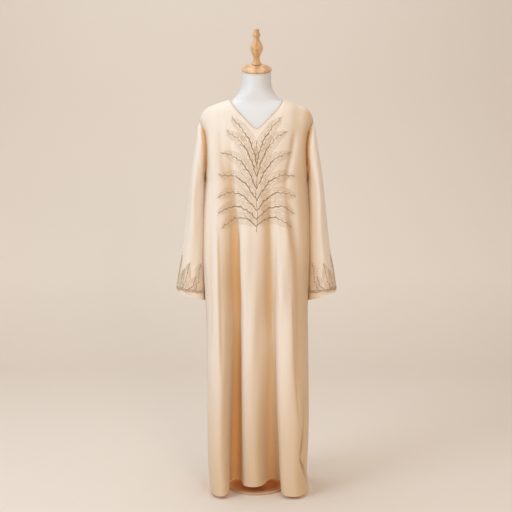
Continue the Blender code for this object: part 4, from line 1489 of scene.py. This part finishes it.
class THOBE_OT_sleeves(bpy.types.Operator):
    """Add the two wide straight sleeves"""
    bl_idname = "thobe.sleeves"
    bl_label = "Sleeves"

    def execute(self, context):
        thickness = context.scene.thobe_cloth.thickness
        grid, drawn, u, v = sleeve_surface()
        outward = -normals(grid, around=True)
        for side, turn in TURNS.items():
            piece = shell("cloth_sleeve_" + side, grid * turn, outward * turn, thickness, cloth_finish(),
                          ["sleeve_" + side], around=True, flip=turn[0] > 0)
            set_painted_shades(piece, *sleeve_painted_shade(side, drawn, u, v))
        return {"FINISHED"}


class THOBE_OT_chest(bpy.types.Operator):
    """Add the chest's beadwork"""
    bl_idname = "thobe.chest"
    bl_label = "Chest Beadwork"

    def execute(self, context):
        add_beadwork("chest", chest_design(), on_front, TURNS["right"])
        return {"FINISHED"}


class THOBE_OT_cuffs(bpy.types.Operator):
    """Add the cuffs' beadwork"""
    bl_idname = "thobe.cuffs"
    bl_label = "Cuff Beadwork"

    def execute(self, context):
        for side, turn in TURNS.items():
            add_beadwork("cuff_" + side, cuff_design(), on_sleeve, turn)
        return {"FINISHED"}


class THOBE_OT_stitches(bpy.types.Operator):
    """Add the rows of stitches, the neck's rolled edge, the seams and the armholes' painted shade"""
    bl_idname = "thobe.stitches"
    bl_label = "Stitches and Seams"

    def execute(self, context):
        p = context.scene.thobe_beads
        hem, armholes, seams = (thread_finish(name, tuple(colour)) for name, colour in (
            ("hem_thread", p.hem_thread), ("armhole_shade_thread", p.armhole), ("seam_shade_thread", p.seam)))
        cords("neck_edge", neck_edges(), NECK_ROLL, hem, sides=8)
        # Dark brown cords along the armholes and in the slit under each arm: painted shade.
        cords("armhole_shade_seams", armhole_lines(), SEAM_ROLL * 1.5, armholes)
        cords("underarm_shade_cords", armhole_lines(UNDERARM_Z + UNDERARM_PART), SEAM_ROLL * 4, armholes)
        # Real seam ridges, coloured like shaded cloth: painted shade.
        cords("seams", body_lines(), SEAM_ROLL, seams)
        places = stitch_rows()
        scatter("stitches", places, np.tile(STITCH_SIZE, (len(places[0]), 1)), hem)
        return {"FINISHED"}


class THOBE_OT_form(bpy.types.Operator):
    """Add the dress form's skin"""
    bl_idname = "thobe.form"
    bl_label = "Dress Form"

    def execute(self, context):
        add_stack("form_skin", form_rings(), form_finish(), ["form_torso"])
        return {"FINISHED"}


class THOBE_OT_wood(bpy.types.Operator):
    """Add the wooden cap and finial"""
    bl_idname = "thobe.wood"
    bl_label = "Cap and Finial"

    def execute(self, context):
        wood = wood_finish()
        add_stack("cap_turned", turned(rounded(CAP_PROFILE), 96, NECK_TOP, CAP_TILT), wood,
                  ["neck_cap"])
        add_stack("finial_turned", turned(rounded(FINIAL_PROFILE), 72, NECK_TOP, CAP_TILT), wood,
                  ["neck_finial"])
        return {"FINISHED"}


class THOBE_OT_stand(bpy.types.Operator):
    """Add the pole and the round plate"""
    bl_idname = "thobe.stand"
    bl_label = "Stand"

    def execute(self, context):
        pole = rod(POLE_RADIUS, PLATE_THICK + SEAM, FORM_SECTIONS["z"][-1] - SEAM, 0.0008, 0.0008)
        add_stack("pole_rod", turned(pole, 48), steel_finish(), ["stand_pole"])
        plate = rod(PLATE_RADIUS, 0, PLATE_THICK, 0.0015, 0.002)
        add_stack("plate_disc", turned(plate, 96), plate_finish(), ["stand_plate"])
        return {"FINISHED"}


class THOBE_OT_studio(bpy.types.Operator):
    """Add the floor, the lights and the camera"""
    bl_idname = "thobe.studio"
    bl_label = "Studio"

    def execute(self, context):
        p = context.scene.thobe_studio
        add_backdrop()
        add_lamp("key", (-2.8, -2.4, 2.5), (0, 0, 1.0), p.key, 1.8, (0.74, 0.93, 1.08))
        add_lamp("wash", (-0.6, 0.5, 4.9), (-0.3, 2.8, 0.5), p.wash, 3.4, (0.85, 0.94, 1.0))
        add_lamp("front", (0.9, -3.3, 1.5), (0, 0, 0.6), p.front, 0.9, (1.0, 0.90, 0.78))
        for name, (x, y, z), share in GLOWS:
            add_lamp(name, (x, y, z), (x, y, 0), p.glow * share, 0.05, (1.0, 0.55, 0.27))
        add_air(p.fill)
        add_camera()
        return {"FINISHED"}


STEPS = (THOBE_OT_body, THOBE_OT_sleeves, THOBE_OT_chest, THOBE_OT_cuffs, THOBE_OT_stitches,
         THOBE_OT_form, THOBE_OT_wood, THOBE_OT_stand, THOBE_OT_studio)


class THOBE_PT_panel(bpy.types.Panel):
    """Lists the robe's pieces and the studio"""
    bl_idname = "THOBE_PT_panel"
    bl_label = "Thobe Robe"
    bl_space_type = "VIEW_3D"
    bl_region_type = "UI"
    bl_category = "Thobe"

    def draw(self, context):
        for name, _ in GROUPS:
            group = getattr(context.scene, name)
            box = self.layout.box()
            for key in group.bl_rna.properties.keys():
                if key not in ("rna_type", "name"):
                    box.prop(group, key)
        for step in STEPS:
            self.layout.operator(step.bl_idname)


GROUPS = (("thobe_cloth", ClothSizes), ("thobe_beads", BeadSizes), ("thobe_form", FormSizes),
          ("thobe_studio", StudioSizes))


def register():
    for name, group in GROUPS:
        bpy.utils.register_class(group)
        setattr(bpy.types.Scene, name, bpy.props.PointerProperty(type=group))
    for step in (*STEPS, THOBE_PT_panel):
        bpy.utils.register_class(step)


def unregister():
    for step in (THOBE_PT_panel, *reversed(STEPS)):
        bpy.utils.unregister_class(step)
    for name, group in reversed(GROUPS):
        delattr(bpy.types.Scene, name)
        bpy.utils.unregister_class(group)


def main():
    register()
    for step in STEPS:
        group, action = step.bl_idname.split(".")
        getattr(getattr(bpy.ops, group), action)()


if __name__ == "__main__":
    main()
